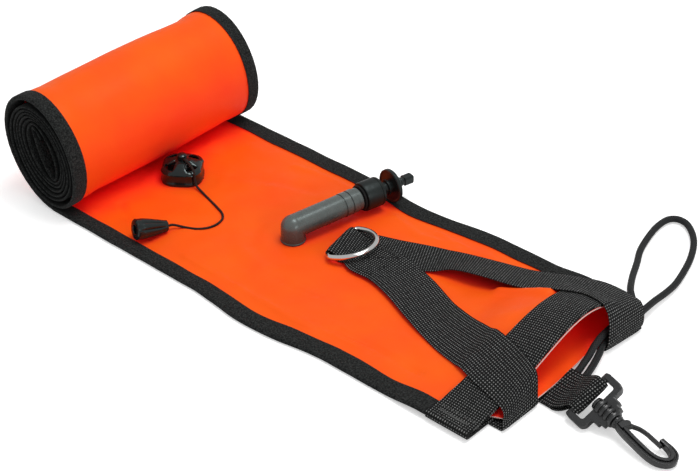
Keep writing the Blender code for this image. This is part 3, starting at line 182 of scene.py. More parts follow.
# The roll's winding: more and thinner turns than the solids have
WOUND_LONG = 0.0302
WOUND_SHORT = 0.0235
WOUND_LIFT = -0.0009
WOUND_PITCH = 0.0023
CORE_TURNS = 5.9
LAST_TURN = 7.6
CORE_SQUASH = 0.55
CORE_TUCK = 0.03
CLOTH_END = 0.05
TURN_STEPS = 40
DENSE_TURNS = 1.4
PRESSED_SHARE = 0.48

# Cloth, tape and webbing in detail
NYLON_SHADE_REACH = 0.028
TAPE_SHADE_REACH = 0.006
HARD_SHADE_REACH = 0.02
NYLON_YARN = 0.0006
WEB_PICK = 0.00150
WEB_RIB = 0.00156
BRAID_PITCH = 0.0015
CORD_TWIST = 0.0011
FLAT_PITCH = 0.0018
TAPE_PITCH = 0.002
WOUND_CLOTH_INSET = 0.0025
ROLL_TAPE_NARROWER = 0.0024
NEAR_TAPE_NARROWER = 0.0022
TAPE_WOBBLE = 0.0009
TAPE_SPREAD = 0.0004
ROLL_TAPE_WOBBLE = 0.0007
ROLL_TAPE_SPREAD = 0.0009
# Holes in the front panel for the valves: x, y, radius
VALVE_HOLES = [(INFLATOR_X, INFLATOR_Y, 0.0046), (DUMP_X, DUMP_Y, 0.0108)]
LIP_RADIUS = 0.0003
STRAP_COLUMNS = 15
STRAP_STEPS = 7
STITCH = 0.0018
STITCH_STEP = 0.0026
THREAD = 0.00024
# One stitch: places along it and how full it is there
STITCH_SHAPE = [(-0.5, 0.3), (-0.3, 0.9), (0.0, 1.0), (0.3, 0.9), (0.5, 0.3)]

back_z = TAPE + CLEAR
flange_low = FABRIC + CLEAR
front_z = back_z + FABRIC + CLEAR
stack = front_z + FABRIC + CLEAR + TAPE
flange_top = FABRIC + CLEAR + FLANGE
front_inner_z = flange_top + CLEAR
panel_top = front_inner_z + FABRIC
half_width = BUOY_WIDTH / 2
panel_half = half_width - TAPE - CLEAR
lap_half = half_width - TAPE_LAP
stack_rise = WEB + CLEAR + WEB + CLEAR - back_z
band_end = FRONT_MOUTH_X - BAND_SETBACK
band_start = band_end - BAND_WIDTH
rise_end = band_start - RISE_SETBACK
rise_start = rise_end - RISE_LENGTH

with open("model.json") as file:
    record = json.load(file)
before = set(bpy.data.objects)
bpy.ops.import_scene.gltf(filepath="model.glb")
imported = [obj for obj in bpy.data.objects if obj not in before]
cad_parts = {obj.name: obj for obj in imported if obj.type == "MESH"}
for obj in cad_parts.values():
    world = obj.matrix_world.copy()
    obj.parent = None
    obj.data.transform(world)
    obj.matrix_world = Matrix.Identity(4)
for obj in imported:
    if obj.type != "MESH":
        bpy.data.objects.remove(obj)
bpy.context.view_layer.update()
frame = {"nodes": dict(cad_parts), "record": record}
nodes = frame["nodes"]
scene = bpy.context.scene


def make_camera():
    """The camera that matches the photograph's view."""
    data = bpy.data.cameras.new("camera")
    data.sensor_width = SENSOR_WIDTH
    data.lens = FOCAL_PIXELS / PHOTO_WIDTH * SENSOR_WIDTH
    camera = bpy.data.objects.new("camera", data)
    camera.location = CAMERA_PLACE
    camera.rotation_euler = (CAMERA_AIM - CAMERA_PLACE).to_track_quat("-Z", "Y").to_euler()
    scene.collection.objects.link(camera)
    scene.camera = camera


make_camera()


# Node-based materials
class Nodes:
    """Short ways to build the nodes of a tree."""

    def __init__(self, tree):
        self.tree = tree

    def feed(self, socket, value):
        if hasattr(value, "is_linked"):
            self.tree.links.new(value, socket)
        else:
            socket.default_value = value

    def set(self, node, **inputs):
        """Sets or links inputs by their names."""
        for name, value in inputs.items():
            self.feed(node.inputs[name.replace("_", " ")], value)

    def node(self, kind, settings=None, **inputs):
        made = self.tree.nodes.new("ShaderNode" + kind)
        for name, value in (settings or {}).items():
            setattr(made, name, value)
        self.set(made, **inputs)
        return made

    def math(self, operation, *values):
        made = self.node("Math", {"operation": operation})
        for socket, value in zip(made.inputs, values):
            self.feed(socket, value)
        return made.outputs[0]

    def ramp(self, value, low, high, out_low=0.0, out_high=1.0):
        return self.node("MapRange", Value=value, From_Min=low, From_Max=high,
                         To_Min=out_low, To_Max=out_high).outputs[0]


class Shader(Nodes):
    """A Principled material, with what its colour and bumps are made of."""

    def __init__(self, name, color, roughness, **more):
        self.material = bpy.data.materials.new(name)
        self.material.use_nodes = True
        super().__init__(self.material.node_tree)
        self.surface = self.tree.nodes["Principled BSDF"]
        self.set(self.surface, Base_Color=(*color, 1), Roughness=roughness, **more)

    def weave_uv(self):
        """Distances along and across a woven strip, in metres."""
        uv = self.node("UVMap", {"uv_map": "weave"}).outputs[0]
        parts = self.node("SeparateXYZ", Vector=uv).outputs
        return parts[0], parts[1]

    def noise(self, scale, detail=3.0, roughness=0.5):
        place = self.node("TexCoord").outputs["Object"]
        return self.node("TexNoise", Vector=place, Scale=scale, Detail=detail, Roughness=roughness).outputs[0]

    def wave(self, distance, pitch):
        """A sine of a distance, from 0 to 1."""
        turned = self.math("MULTIPLY", distance, 2.0 * math.pi / pitch)
        return self.math("MULTIPLY_ADD", self.math("SINE", turned), 0.5, 0.5)

    def openness(self, reach):
        """1 in the open, and less where anything nearer than reach shades the place."""
        return self.node("AmbientOcclusion", Distance=reach).outputs["AO"]

    def color(self, share, first, second):
        mix = self.node("Mix", {"data_type": "RGBA"}, A=(*first, 1), B=(*second, 1), Factor=share)
        self.set(self.surface, Base_Color=mix.outputs["Result"])

    def bump(self, height, distance, strength=1.0):
        """Adds a bump to the ones before it."""
        made = self.node("Bump", Height=height, Distance=distance, Strength=strength)
        before = self.surface.inputs["Normal"].links
        if before:
            self.set(made, Normal=before[0].from_socket)
        self.set(self.surface, Normal=made.outputs[0])


def nylon_material():
    """Coated cloth, orange with a random redder tone; painted shade makes it deeper red where other things
    are near and on its steep sides, and a painted red glow lights its shaded parts.
    """
    made = Shader("coated_nylon", (0.94, 0.10, 0.012), 0.42, Specular_IOR_Level=0.12)
    openness = made.openness(NYLON_SHADE_REACH)
    # Painted shade: the cloth turns deeper red where other things are near it.
    painted_shade_depth = made.ramp(openness, 0.80, 0.25)
    tone = made.ramp(made.noise(26.0, 4.0), 0.35, 0.65, 0.0, 0.22)
    facing = made.node("SeparateXYZ", Vector=made.node("NewGeometry").outputs["Normal"])
    # Painted shade: faces that turn away from straight up are painted redder.
    painted_side_shade = made.ramp(facing.outputs["Z"], 0.85, 0.15, 0.0, 0.40)
    tone_and_painted_shade = made.math("MAXIMUM", painted_shade_depth, made.math("ADD", tone, painted_side_shade))
    made.color(tone_and_painted_shade, (0.97, 0.112, 0.004), (0.97, 0.016, 0.012))
    # Painted light: a red glow in the emission, strongest where the cloth is partly shaded.
    painted_light = made.math("MULTIPLY", painted_shade_depth, made.ramp(openness, 0.15, 0.60, 0.0, 0.09))
    made.set(made.surface, Emission_Color=(1.0, 0.02, 0.03, 1), Emission_Strength=painted_light,
             Roughness=made.ramp(made.noise(160.0), 0.3, 0.7, 0.40, 0.52))
    along, across = made.weave_uv()
    yarns = made.math("MULTIPLY", made.wave(along, NYLON_YARN), made.wave(across, NYLON_YARN))
    made.bump(yarns, 0.00003, 0.6)
    made.bump(made.noise(420.0, 2.0), 0.00012, 0.5)
    return made.material


def tape_material():
    """Matt, speckled tape, with painted shade that darkens it in its corners."""
    made = Shader("edge_tape", (0.026, 0.028, 0.027), 0.92, Specular_IOR_Level=0.1, Sheen_Weight=0.04)
    # Painted shade: the tape is darkened where other things are near it.
    painted_shade_factor = made.ramp(made.openness(TAPE_SHADE_REACH), 0.38, 0.88, 0.06, 1.0)
    speckle = made.ramp(made.noise(1100.0, 3.0, 0.7), 0.40, 0.66)
    made.color(made.math("MULTIPLY", speckle, painted_shade_factor), (0.004, 0.0045, 0.0045), (0.035, 0.037, 0.036))
    made.bump(made.noise(900.0, 4.0, 0.7), 0.0005, 0.9)
    return made.material


def webbing_material():
    """Coarse weave whose crossings are painted lighter, as a painted highlight."""
    made = Shader("webbing", (0.03, 0.03, 0.031), 0.8, Specular_IOR_Level=0.15)
    along, across = made.weave_uv()
    pick = made.wave(made.math("MULTIPLY_ADD", across, 0.12, along), WEB_PICK)
    knot = made.math("MULTIPLY", made.wave(across, WEB_RIB), pick)
    fuzz = made.ramp(made.noise(900.0, 2.0), 0.3, 0.6, 0.3, 1.0)
    # Painted highlight: the weave's crossings are painted light grey on the dark webbing.
    painted_light = made.math("MULTIPLY", made.ramp(knot, 0.35, 0.80), fuzz)
    made.color(painted_light, (0.005, 0.0055, 0.0055), (0.29, 0.295, 0.29))
    made.bump(knot, 0.0007)
    return made.material


def elastic_material():
    """Fine braid whose strands slant both ways."""
    made = Shader("black_elastic", (0.02, 0.021, 0.022), 0.6, Specular_IOR_Level=0.22)
    along, across = made.weave_uv()
    strands = [made.wave(made.math("MULTIPLY_ADD", across, slant, along), BRAID_PITCH)
               for slant in (1.0, -1.0)]
    braid = made.math("MAXIMUM", *strands)
    made.color(made.ramp(braid, 0.4, 1.0), (0.006, 0.0065, 0.007), (0.022, 0.023, 0.024))
    made.bump(braid, 0.00022, 0.9)
    return made.material


def cord_material():
    made = Shader("thin_cord", (0.02, 0.012, 0.010), 0.7, Specular_IOR_Level=0.2)
    along, across = made.weave_uv()
    twist = made.wave(made.math("MULTIPLY_ADD", across, 0.8, along), CORD_TWIST)
    made.color(twist, (0.006, 0.004, 0.004), (0.034, 0.022, 0.018))
    made.bump(twist, 0.00012, 0.9)
    return made.material


def moulded(name, color, roughness, mottle=0.12, grain=0.00004, shade_reach=0.0, **more):
    """Moulded plastic, slightly uneven in tone and gloss; with a shade_reach it also gets painted shade where
    other things are near.
    """
    made = Shader(name, color, roughness, **more)
    share = made.ramp(made.noise(240.0, 4.0), 0.3, 0.7, 1.0 - mottle, 1.0)
    # Painted shade: with a shade_reach, the tone darkens where other things are near.
    if shade_reach:
        share = made.math("MULTIPLY", share, made.ramp(made.openness(shade_reach), 0.45, 0.98))
    made.color(share, tuple(c * 0.22 for c in color), color)
    uneven = made.ramp(made.noise(420.0), 0.3, 0.7, roughness * 0.85, roughness * 1.2)
    made.set(made.surface, Roughness=uneven)
    made.bump(made.noise(1400.0, 2.0), grain, 0.7)
    return made.material


def metal(name, color, roughness, grain=0.00002):
    made = Shader(name, color, roughness, Metallic=1.0)
    uneven = made.ramp(made.noise(900.0, 4.0), 0.3, 0.7, roughness * 0.7, roughness * 1.5)
    made.set(made.surface, Roughness=uneven)
    made.bump(made.noise(500.0), grain, 0.5)
    return made.material


nylon = nylon_material()
tape_cloth = tape_material()
webbing = webbing_material()
elastic = elastic_material()
thin_rope = cord_material()
COOL_SHEEN = (0.84, 1.0, 1.0, 1.0)
gloss = moulded("gloss_plastic", (0.006, 0.0075, 0.0075), 0.15, grain=0.00002,
                Specular_IOR_Level=0.5, Specular_Tint=COOL_SHEEN)
grey = moulded("grey_plastic", (0.098, 0.110, 0.105), 0.27, 0.25, shade_reach=HARD_SHADE_REACH,
               Specular_Tint=COOL_SHEEN)
dark = moulded("dark_plastic", (0.011, 0.0125, 0.012), 0.42, 0.14, shade_reach=HARD_SHADE_REACH,
               Specular_IOR_Level=0.26, Specular_Tint=COOL_SHEEN)
acetal = moulded("black_acetal", (0.019, 0.020, 0.021), 0.26, 0.3, shade_reach=HARD_SHADE_REACH,
                 Specular_IOR_Level=0.6)
plunger_black = moulded("plunger_black", (0.010, 0.011, 0.011), 0.34, 0.15,
                        Specular_IOR_Level=0.35, Specular_Tint=COOL_SHEEN)
rubber = moulded("black_rubber", (0.008, 0.008, 0.008), 0.7, Specular_IOR_Level=0.2)
steel = metal("polished_steel", (0.72, 0.72, 0.71), 0.14)
wire = metal("spring_steel", (0.55, 0.55, 0.55), 0.3)
thread = moulded("thread", (0.012, 0.012, 0.012), 0.75, 0.3, Specular_IOR_Level=0.2)
pale_thread = moulded("pale_thread", (0.11, 0.112, 0.11), 0.75, 0.3, Specular_IOR_Level=0.2)
cut_edge = moulded("cut_edge", (0.72, 0.46, 0.42), 0.7)

SLOT_MATERIALS = {
    "coated_nylon": nylon, "edge_tape": tape_cloth, "webbing": webbing, "gloss_plastic": gloss,
    "grey_plastic": grey, "dark_plastic": dark, "black_acetal": acetal, "black_rubber": rubber,
    "polished_steel": steel, "spring_steel": wire, "thin_cord": thin_rope, "black_elastic": elastic,
}


# Meshes
def smooth(t):
    t = min(1.0, max(0.0, t))
    return t * t * (3.0 - 2.0 * t)


def spread(low, high, count):
    return [low + (high - low) * k / (count - 1) for k in range(count)]


def full_turn(count):
    return [2.0 * math.pi * k / count for k in range(count)]


def polar(radius, turn, height):
    return Vector((radius * math.cos(turn), radius * math.sin(turn), height))


def arc(centre, radius, start, end, steps):
    """Points on an arc in the XY plane, angles in degrees."""
    turns = [math.radians(angle) for angle in spread(start, end, steps + 1)]
    return [(centre[0] + radius * math.cos(turn), centre[1] + radius * math.sin(turn)) for turn in turns]


def shifted(pairs, radius, height):
    """(radius, height) pairs of a profile that are given as steps from one place on it."""
    return [(radius + out, height + up) for out, up in pairs]


def curve_through(stations, steps):
    """Points on a smooth curve through the stations, with that many steps in each span."""
    found = []
    padded = [stations[0], *stations, stations[-1]]
    for before, here, after, beyond in zip(padded, padded[1:], padded[2:], padded[3:]):
        for k in range(steps):
            t = k / steps
            found.append(0.5 * (2.0 * here + (after - before) * t
                                + (2.0 * before - 5.0 * here + 4.0 * after - beyond) * t ** 2
                                + (3.0 * here - before - 3.0 * after + beyond) * t ** 3))
    found.append(stations[-1].copy())
    return found


def way_at(points, i):
    """Direction of a line at its point i."""
    return (points[min(i + 1, len(points) - 1)] - points[max(i - 1, 0)]).normalized()


def placed(way, origin):
    """Local Z along way, from origin."""
    side = Vector((0.0, 0.0, 1.0)).cross(way).normalized()
    turn = Matrix((side, way.cross(side), way)).transposed()
    return Matrix.Translation(origin) @ turn.to_4x4()


def mesh_object(name, points, faces, material, uvs=None, sharp=None):
    """An object with smooth faces, except at edges that are sharper than the angle."""
    mesh = bpy.data.meshes.new(name)
    mesh.from_pydata([tuple(p) for p in points], [], faces)
    mesh.materials.append(material)
    tidy = bmesh.new()
    tidy.from_mesh(mesh)
    bmesh.ops.recalc_face_normals(tidy, faces=tidy.faces)
    tidy.to_mesh(mesh)
    tidy.free()
    if uvs is not None:
        corners = np.empty(len(mesh.loops), dtype=np.int32)
        mesh.loops.foreach_get("vertex_index", corners)
        layer = mesh.uv_layers.new(name="weave")
        layer.data.foreach_set("uv", np.asarray(uvs, dtype=np.float32)[corners].ravel())
    mesh.shade_smooth()
    if sharp:
        mesh.set_sharp_from_angle(angle=math.radians(sharp))
    obj = bpy.data.objects.new(name, mesh)
    scene.collection.objects.link(obj)
    return obj


def settle(obj, slot, body, *replaced):
    """Attaches a piece to its body and hides the solids that it stands for. Its slot is not used."""
    if replaced:
        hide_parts(*replaced)
    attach(obj, body)
    return obj


def loft_parts(rings, place=None, joined=False):
    """Points and faces of a body through rings of points, capped, or joined end to end."""
    around = len(rings[0])
    count = len(rings)
    points = [(place @ p if place else p) for ring in rings for p in ring]
    faces = []
    for i in range(count if joined else count - 1):
        start = i * around
        after = (i + 1) % count * around
        for k in range(around):
            j = (k + 1) % around
            faces.append((start + k, start + j, after + j, after + k))
    if not joined:
        faces.append(tuple(range(around)))
        faces.append(tuple((count - 1) * around + k for k in range(around)))
    return points, faces


def turned_parts(profile, segments, place, wave_at=None, joined=False):
    """Points and faces of a profile of (radius, height) turned about the local Z axis."""
    rings = []
    for i, (radius, height) in enumerate(profile):
        rings.append([polar(radius + (wave_at(turn, i) if wave_at else 0.0), turn, height)
                      for turn in full_turn(segments)])
    return loft_parts(rings, place, joined)


def plate_parts(outline, low, high, place):
    return loft_parts([[Vector((x, y, z)) for x, y in outline] for z in (low, high)], place)


def merged(parts):
    """Points and faces of several bodies as one."""
    points = []
    faces = []
    for more_points, more_faces in parts:
        start = len(points)
        points.extend(more_points)
        faces.extend(tuple(start + k for k in face) for face in more_faces)
    return points, faces


def soften(obj, width, angle):
    """Rounds the edges that are sharper than the angle."""
    soft = obj.modifiers.new("soft_edges", "BEVEL")
    soft.width = width
    soft.segments = 2
    soft.limit_method = "ANGLE"
    soft.angle_limit = math.radians(angle)


def assembled(name, parts, slot, body, *replaced, material=None, sharp=35.0, bevel=0.0):
    """One piece of several bodies, with softened edges if asked for."""
    obj = mesh_object(name, *merged(parts), material or SLOT_MATERIALS[slot], sharp=sharp)
    if bevel:
        soften(obj, bevel, 38.0)
    return settle(obj, slot, body, *replaced)


def tube(name, points, radius, around, slot, body, *replaced, material=None, closed=False):
    """A round cord or rod along the points, with its length and girth as UV."""
    rings = []
    uvs = []
    gone = 0.0
    side = way_at(points, 0).orthogonal()
    for i, point in enumerate(points):
        way = way_at(points, i)
        side = (side - way * side.dot(way)).normalized()
        up = way.cross(side)
        gone += (point - points[i - 1]).length if i else 0.0
        rings.append([point + (side * math.cos(turn) + up * math.sin(turn)) * radius
                      for turn in full_turn(around)])
        uvs += [(gone, turn * radius) for turn in full_turn(around)]
    obj = mesh_object(name, *loft_parts(rings, joined=closed), material or SLOT_MATERIALS[slot], uvs, 60.0)
    return settle(obj, slot, body, *replaced)


strips = {}


def steps_along(grid, axis):
    lengths = np.linalg.norm(np.diff(grid, axis=axis), axis=2).mean(axis=1 - axis)
    return np.concatenate(([0.0], np.cumsum(lengths)))


def grid_normals(grid, ring):
    along = np.gradient(grid, axis=0)
    if ring:
        across = np.roll(grid, -1, axis=1) - np.roll(grid, 1, axis=1)
    else:
        across = np.gradient(grid, axis=1)
    normals = np.cross(along, across)
    return normals / np.maximum(np.linalg.norm(normals, axis=2, keepdims=True), 1e-12)


def ribbon_parts(rows, thickness, ring=False, edge=0.45, hole=None):
    """Points, faces and UVs of a strip with softened edges, and what its stitches need."""
    grid = np.array([[tuple(p) for p in row] for row in rows])
    count, columns = grid.shape[:2]
    normals = grid_normals(grid, ring)
    share = np.ones(columns)
    if not ring:
        share[[0, -1]] = edge
        share[[1, -2]] = 0.5 + edge / 2
    half = np.broadcast_to(np.asarray(thickness, dtype=float).reshape(-1, 1), (count, 1)) / 2
    offset = normals * (half * share[None, :])[:, :, None]
    points = np.concatenate(((grid + offset).reshape(-1, 3), (grid - offset).reshape(-1, 3)))
    under = count * columns
    faces = []
    wide = columns if ring else columns - 1
    for i in range(count - 1):
        for j in range(wide):
            a = i * columns + j
            b = i * columns + (j + 1) % columns
            if hole and hole(grid[i, j]):
                continue
            faces.append((a, b, b + columns, a + columns))
            faces.append((under + a, under + a + columns, under + b + columns, under + b))
        if not ring:
            for a in (i * columns, (i + 1) * columns - 1):
                faces.append((a, a + columns, under + a + columns, under + a))
    for i in (0, count - 1):
        for j in range(wide):
            a = i * columns + j
            b = i * columns + (j + 1) % columns
            faces.append((a, b, under + b, under + a))
    us = steps_along(grid, 0)
    vs = steps_along(grid, 1)
    uvs = np.stack(np.meshgrid(us, vs, indexing="ij"), axis=2).reshape(-1, 2)
    return points, faces, np.concatenate((uvs, uvs)), (grid, normals, half, us, vs)


def ribbon(name, parts, slot, *replaced):
    """One piece of one or more strips, given as the arguments of ribbon_parts."""
    made = [ribbon_parts(**part) for part in parts]
    strips[name] = made[0][3]
    uvs = np.concatenate([part[2] for part in made])
    obj = mesh_object(name, *merged([part[:2] for part in made]), SLOT_MATERIALS[slot], uvs, 50.0)
    return settle(obj, slot, "buoy", *replaced)


# Cords
bungee_radius = BUNGEE_DIAMETER / 2
between = WEB + CLEAR + bungee_radius
ground_level = bungee_radius + CLEAR
BUNGEE_ROUTE = [
    (0.1959, -0.0060, between), (0.1959, -0.0005, between), (0.1958, 0.0042, 0.0038),
    (0.1944, 0.0105, 0.0042), (0.1926, 0.0167, 0.0044), (0.1906, 0.0225, 0.0046), (0.1876, 0.0298, 0.0050),
    (0.1860, 0.0390, 0.0052), (0.1866, 0.0490, 0.0052), (0.1874, 0.0590, 0.0053), (0.1869, 0.0699, 0.0053),
    (0.1861, 0.0793, 0.0044), (0.1857, 0.0900, 0.0034), (0.1846, 0.1004, 0.0026),
    (0.1820, 0.1112, ground_level), (0.1785, 0.1229, ground_level), (0.1744, 0.1330, ground_level),
    (0.1691, 0.1425, ground_level), (0.1627, 0.1499, ground_level), (0.1561, 0.1546, ground_level),
    (0.1499, 0.1550, ground_level), (0.1460, 0.1505, ground_level), (0.1456, 0.1406, ground_level),
    (0.1480, 0.1282, ground_level), (0.1521, 0.1149, 0.0024), (0.1585, 0.1023, 0.0036),
    (0.1658, 0.0872, 0.0060), (0.1731, 0.0745, 0.0082), (0.1795, 0.0668, 0.0091), (0.1840, 0.0590, 0.0096),
    (0.1858, 0.0500, 0.0098), (0.1862, 0.0400, 0.0098), (0.1866, 0.0300, 0.0094), (0.1873, 0.0228, 0.0078),
    (0.1886, 0.0167, 0.0060), (0.1897, 0.0105, 0.0048), (0.1908, 0.0042, 0.0039),
    (0.1909, -0.0005, between), (0.1909, -0.0060, between),
]
toggle_small_end = Vector((-0.0558, -0.0476, panel_top + 2 * CLEAR + TOGGLE_SMALL_RADIUS))
toggle_drop = stack + CLEAR + TOGGLE_BIG_RADIUS + TOGGLE_GROOVE - toggle_small_end.z
toggle_flat = math.sqrt(TOGGLE_LENGTH ** 2 - toggle_drop ** 2)
toggle_way = polar(toggle_flat, TOGGLE_HEADING, toggle_drop) / TOGGLE_LENGTH
cord_rest = panel_top + CLEAR + CORD_DIAMETER / 2
cord_knob = DUMP_CAP_TOP + CLEAR + STEM_KNOB_HEIGHT / 2
# The pull cord from its knob over the cap, as (reach, rise), and then on the panel, as (x, y)
CAP_STRETCH = [(0.0026, 0.0), (0.0062, 0.0001), (0.0105, -0.0006), (0.0131, -0.0016), (0.0146, -0.0039),
               (0.0150, -0.0080), (0.0168, -0.0112)]
PANEL_STRETCH = [(-0.0695, -0.0074), (-0.0610, -0.0100), (-0.0516, -0.0128), (-0.0450, -0.0153),
                 (-0.0408, -0.0192), (-0.0393, -0.0250), (-0.0405, -0.0310), (-0.0445, -0.0360),
                 (-0.0505, -0.0392)]


def on_toggle(height):
    return toggle_small_end + toggle_way * height


def dump_cord_stations():
    knob = Vector((DUMP_X, DUMP_Y, cord_knob))
    found = [knob + polar(reach, CAP_HEADING, rise) for reach, rise in CAP_STRETCH]
    found += [Vector((x, y, cord_rest)) for x, y in PANEL_STRETCH]
    return found + [on_toggle(h) for h in (-0.004, 0.0, TOGGLE_LENGTH - 3 * KNOT_RADIUS - CLEAR)]


def make_knot():
    """An overhand knot, wound tight, at the cord's end."""
    place = placed(toggle_way, on_toggle(TOGGLE_LENGTH - 2 * KNOT_RADIUS + CLEAR))
    points = []
    for turn in full_turn(60):
        reach = 0.62 + 0.38 * math.cos(3.0 * turn)
        points.append(place @ (polar(reach, 2.0 * turn, math.sin(3.0 * turn) * 0.6) * KNOT_RADIUS * 0.66))
    return tube("knot", points, CORD_DIAMETER / 2, 10, "thin_cord", "dump_stem", "cord_knot", closed=True)


def make_toggle():
    """A bell-shaped pull with long flutes and a recess for the knot."""
    swell = TOGGLE_BIG_RADIUS * 0.97 - TOGGLE_SMALL_RADIUS
    profile = [(0.0010, 0.0)] + shifted([(-0.0006, 0.0), (0.0, 0.0005)], TOGGLE_SMALL_RADIUS, 0.0)
    for k in range(1, 15):
        t = k / 15
        radius = TOGGLE_SMALL_RADIUS + swell * smooth(t ** 0.85)
        profile.append((radius, 0.0005 + (TOGGLE_LENGTH - 0.0022) * t))
    profile += shifted([(0.0, -0.0014), (0.0, -0.0006), (-0.0006, 0.0)], TOGGLE_BIG_RADIUS, TOGGLE_LENGTH)
    profile += shifted([(0.0010, 0.0), (0.0007, -0.0003), (0.0006, -0.006)], KNOT_RADIUS, TOGGLE_LENGTH)
    profile.append((0.0010, TOGGLE_LENGTH - 0.006))

    def fluted(turn, i):
        """Flutes on the bell's flank, its rings 3 to 16, fading out towards both ends."""
        if not 3 <= i <= 16:
            return 0.0
        depth = TOGGLE_GROOVE * smooth((i - 2) / 4.0) * smooth((17 - i) / 3.0)
        return depth * (abs(math.cos(TOGGLE_FLUTES * turn / 2.0)) ** 0.6 * 2.0 - 1.3)

    bell = turned_parts(profile, 96, placed(toggle_way, toggle_small_end), fluted, joined=True)
    return assembled("toggle", [bell], "gloss_plastic", "dump_stem", "pull_toggle")


def make_cords():
    route = curve_through([Vector(p) for p in BUNGEE_ROUTE], 6)
    bungee = tube("bungee", route, bungee_radius, 20, "black_elastic", "buoy", "bungee_loop")
    route = curve_through(dump_cord_stations(), 6)
    cord = tube("pull_cord", route, CORD_DIAMETER / 2, 12, "thin_cord", "dump_stem", "dump_cord")
    make_knot()
    make_toggle()


make_cords()


# Surfaces of the cloth: the flat part as in the solids, the roll with more turns
def stack_rise_at(x):
    """How far the tube is lifted towards the mouth, by the webbing under it."""
    return stack_rise * smooth((x - rise_start) / (rise_end - rise_start))


def sway(x):
    """Sideways place of the tube's centre line."""
    straightened = smooth(x / (BACK_MOUTH_X - ARCH_LENGTH))
    dipped = smooth(1.0 - abs(x - SWAY_X) / SWAY_REACH)
    return ROLL_Y * (1.0 - straightened) - SWAY_DIP * dipped


def inner_share(x, y):
    """1 between the edge tapes, 0 on them."""
    return smooth((lap_half - abs(y - sway(x))) / FLAT_MARGIN)


def arch_at(x, y):
    """Height of the open mouth's arch."""
    along = smooth((x - (BACK_MOUTH_X - ARCH_LENGTH)) / ARCH_LENGTH)
    across = min(1.0, max(0.0, (y - sway(x) + lap_half) / (2.0 * lap_half)))
    return ARCH_HEIGHT * along * math.sin(math.pi * across ** ARCH_SKEW)


def roll_halves(turns):
    """Half lengths of the roll's oval after that many turns, and how far it is drawn in."""
    landing = 1.0 - smooth(turns / 0.5)
    drawn_in = smooth((turns - DRAW_IN_START) / (LOOSE_TURNS - DRAW_IN_START))
    wound = WOUND_PITCH * max(0.0, turns - LOOSE_TURNS)
    core = smooth((turns - CORE_TURNS) / (LAST_TURN - CORE_TURNS))
    long_half = OUTER_LONG + LANDING * landing - (OUTER_LONG - WOUND_LONG) * drawn_in - wound
    short_half = OUTER_SHORT + LANDING_SHORT * landing - (OUTER_SHORT - WOUND_SHORT) * drawn_in - wound
    return long_half, short_half * (1.0 - CORE_SQUASH * core), drawn_in


first_long = OUTER_LONG + LANDING
first_short = OUTER_SHORT + LANDING_SHORT
lean_cos = math.cos(ROLL_LEAN)
lean_sin = math.sin(ROLL_LEAN)
roll_z = math.hypot(first_long * lean_cos, first_short * lean_sin)
roll_bottom = math.pi + math.atan2(first_short * lean_sin, first_long * lean_cos)
roll_long_axis = Vector((-lean_sin, 0.0, lean_cos))
roll_short_axis = Vector((lean_cos, 0.0, lean_sin))


def roll_point(turns):
    """A point of the tube's outer face in the roll, that many turns from the line where it starts."""
    long_half, short_half, drawn_in = roll_halves(turns)
    angle = roll_bottom + 2.0 * math.pi * turns
    centre = Vector((ROLL_X, 0.0, roll_z + WOUND_LIFT * drawn_in))
    uneven = noise.noise(polar(1.3, angle, 0.3 * turns))
    size = 1.0 + 0.035 * uneven * drawn_in
    return (centre + roll_long_axis * long_half * size * math.cos(angle)
            + roll_short_axis * short_half * size * math.sin(angle))


roll_start = roll_point(0.0).x


def pressed(turns):
    """How thick the wound layers are, as a share of the flat part's."""
    return 1.0 - PRESSED_SHARE * smooth((turns - 0.5) / 0.8)


def rolled_at(turns, depth, y):
    """A point in the roll at that depth from the tube's outer face, and across at y."""
    step = 0.002
    way = (roll_point(turns + step) - roll_point(max(turns - step, 0.0))).normalized()
    place = roll_point(turns) + Vector((way.z, 0.0, -way.x)) * depth * pressed(turns)
    tucked = 1.0 - CORE_TUCK * smooth((turns - 1.2) / 6.0)
    return Vector((place.x, y * tucked + ROLL_Y, place.z))


def from_line(x, y, line):
    """Distance of a point from a line of (x, y) points."""
    found = 1.0
    for (ax, ay), (bx, by) in zip(line, line[1:]):
        dx = bx - ax
        dy = by - ay
        t = min(1.0, max(0.0, ((x - ax) * dx + (y - ay) * dy) / (dx * dx + dy * dy)))
        found = min(found, math.hypot(x - ax - dx * t, y - ay - dy * t))
    return found


# Where the legs of the bridle lie on the front panel
NEAR_LEG_LINE = [(0.024, 0.006), (0.060, 0.0058), (0.0845, -0.0004), (0.117, -0.0134), (0.164, -0.0295)]
FAR_LEG_LINE = [(0.050, 0.019), (0.078, 0.0317), (0.1061, 0.0391), (0.1505, 0.0485), (0.175, 0.054)]
# Waves of cloth: their height, how close they lie along and across, and which noise they are
FRONT_WAVES = [(0.0016, 24.0, 30.0, 0.3), (0.0008, 70.0, 90.0, 4.3)]
ROLL_WAVES = [(0.0019, 22.0, 15.0, 7.0), (0.0005, 60.0, 34.0, 2.0)]
CREASE_SHARE = 1.5
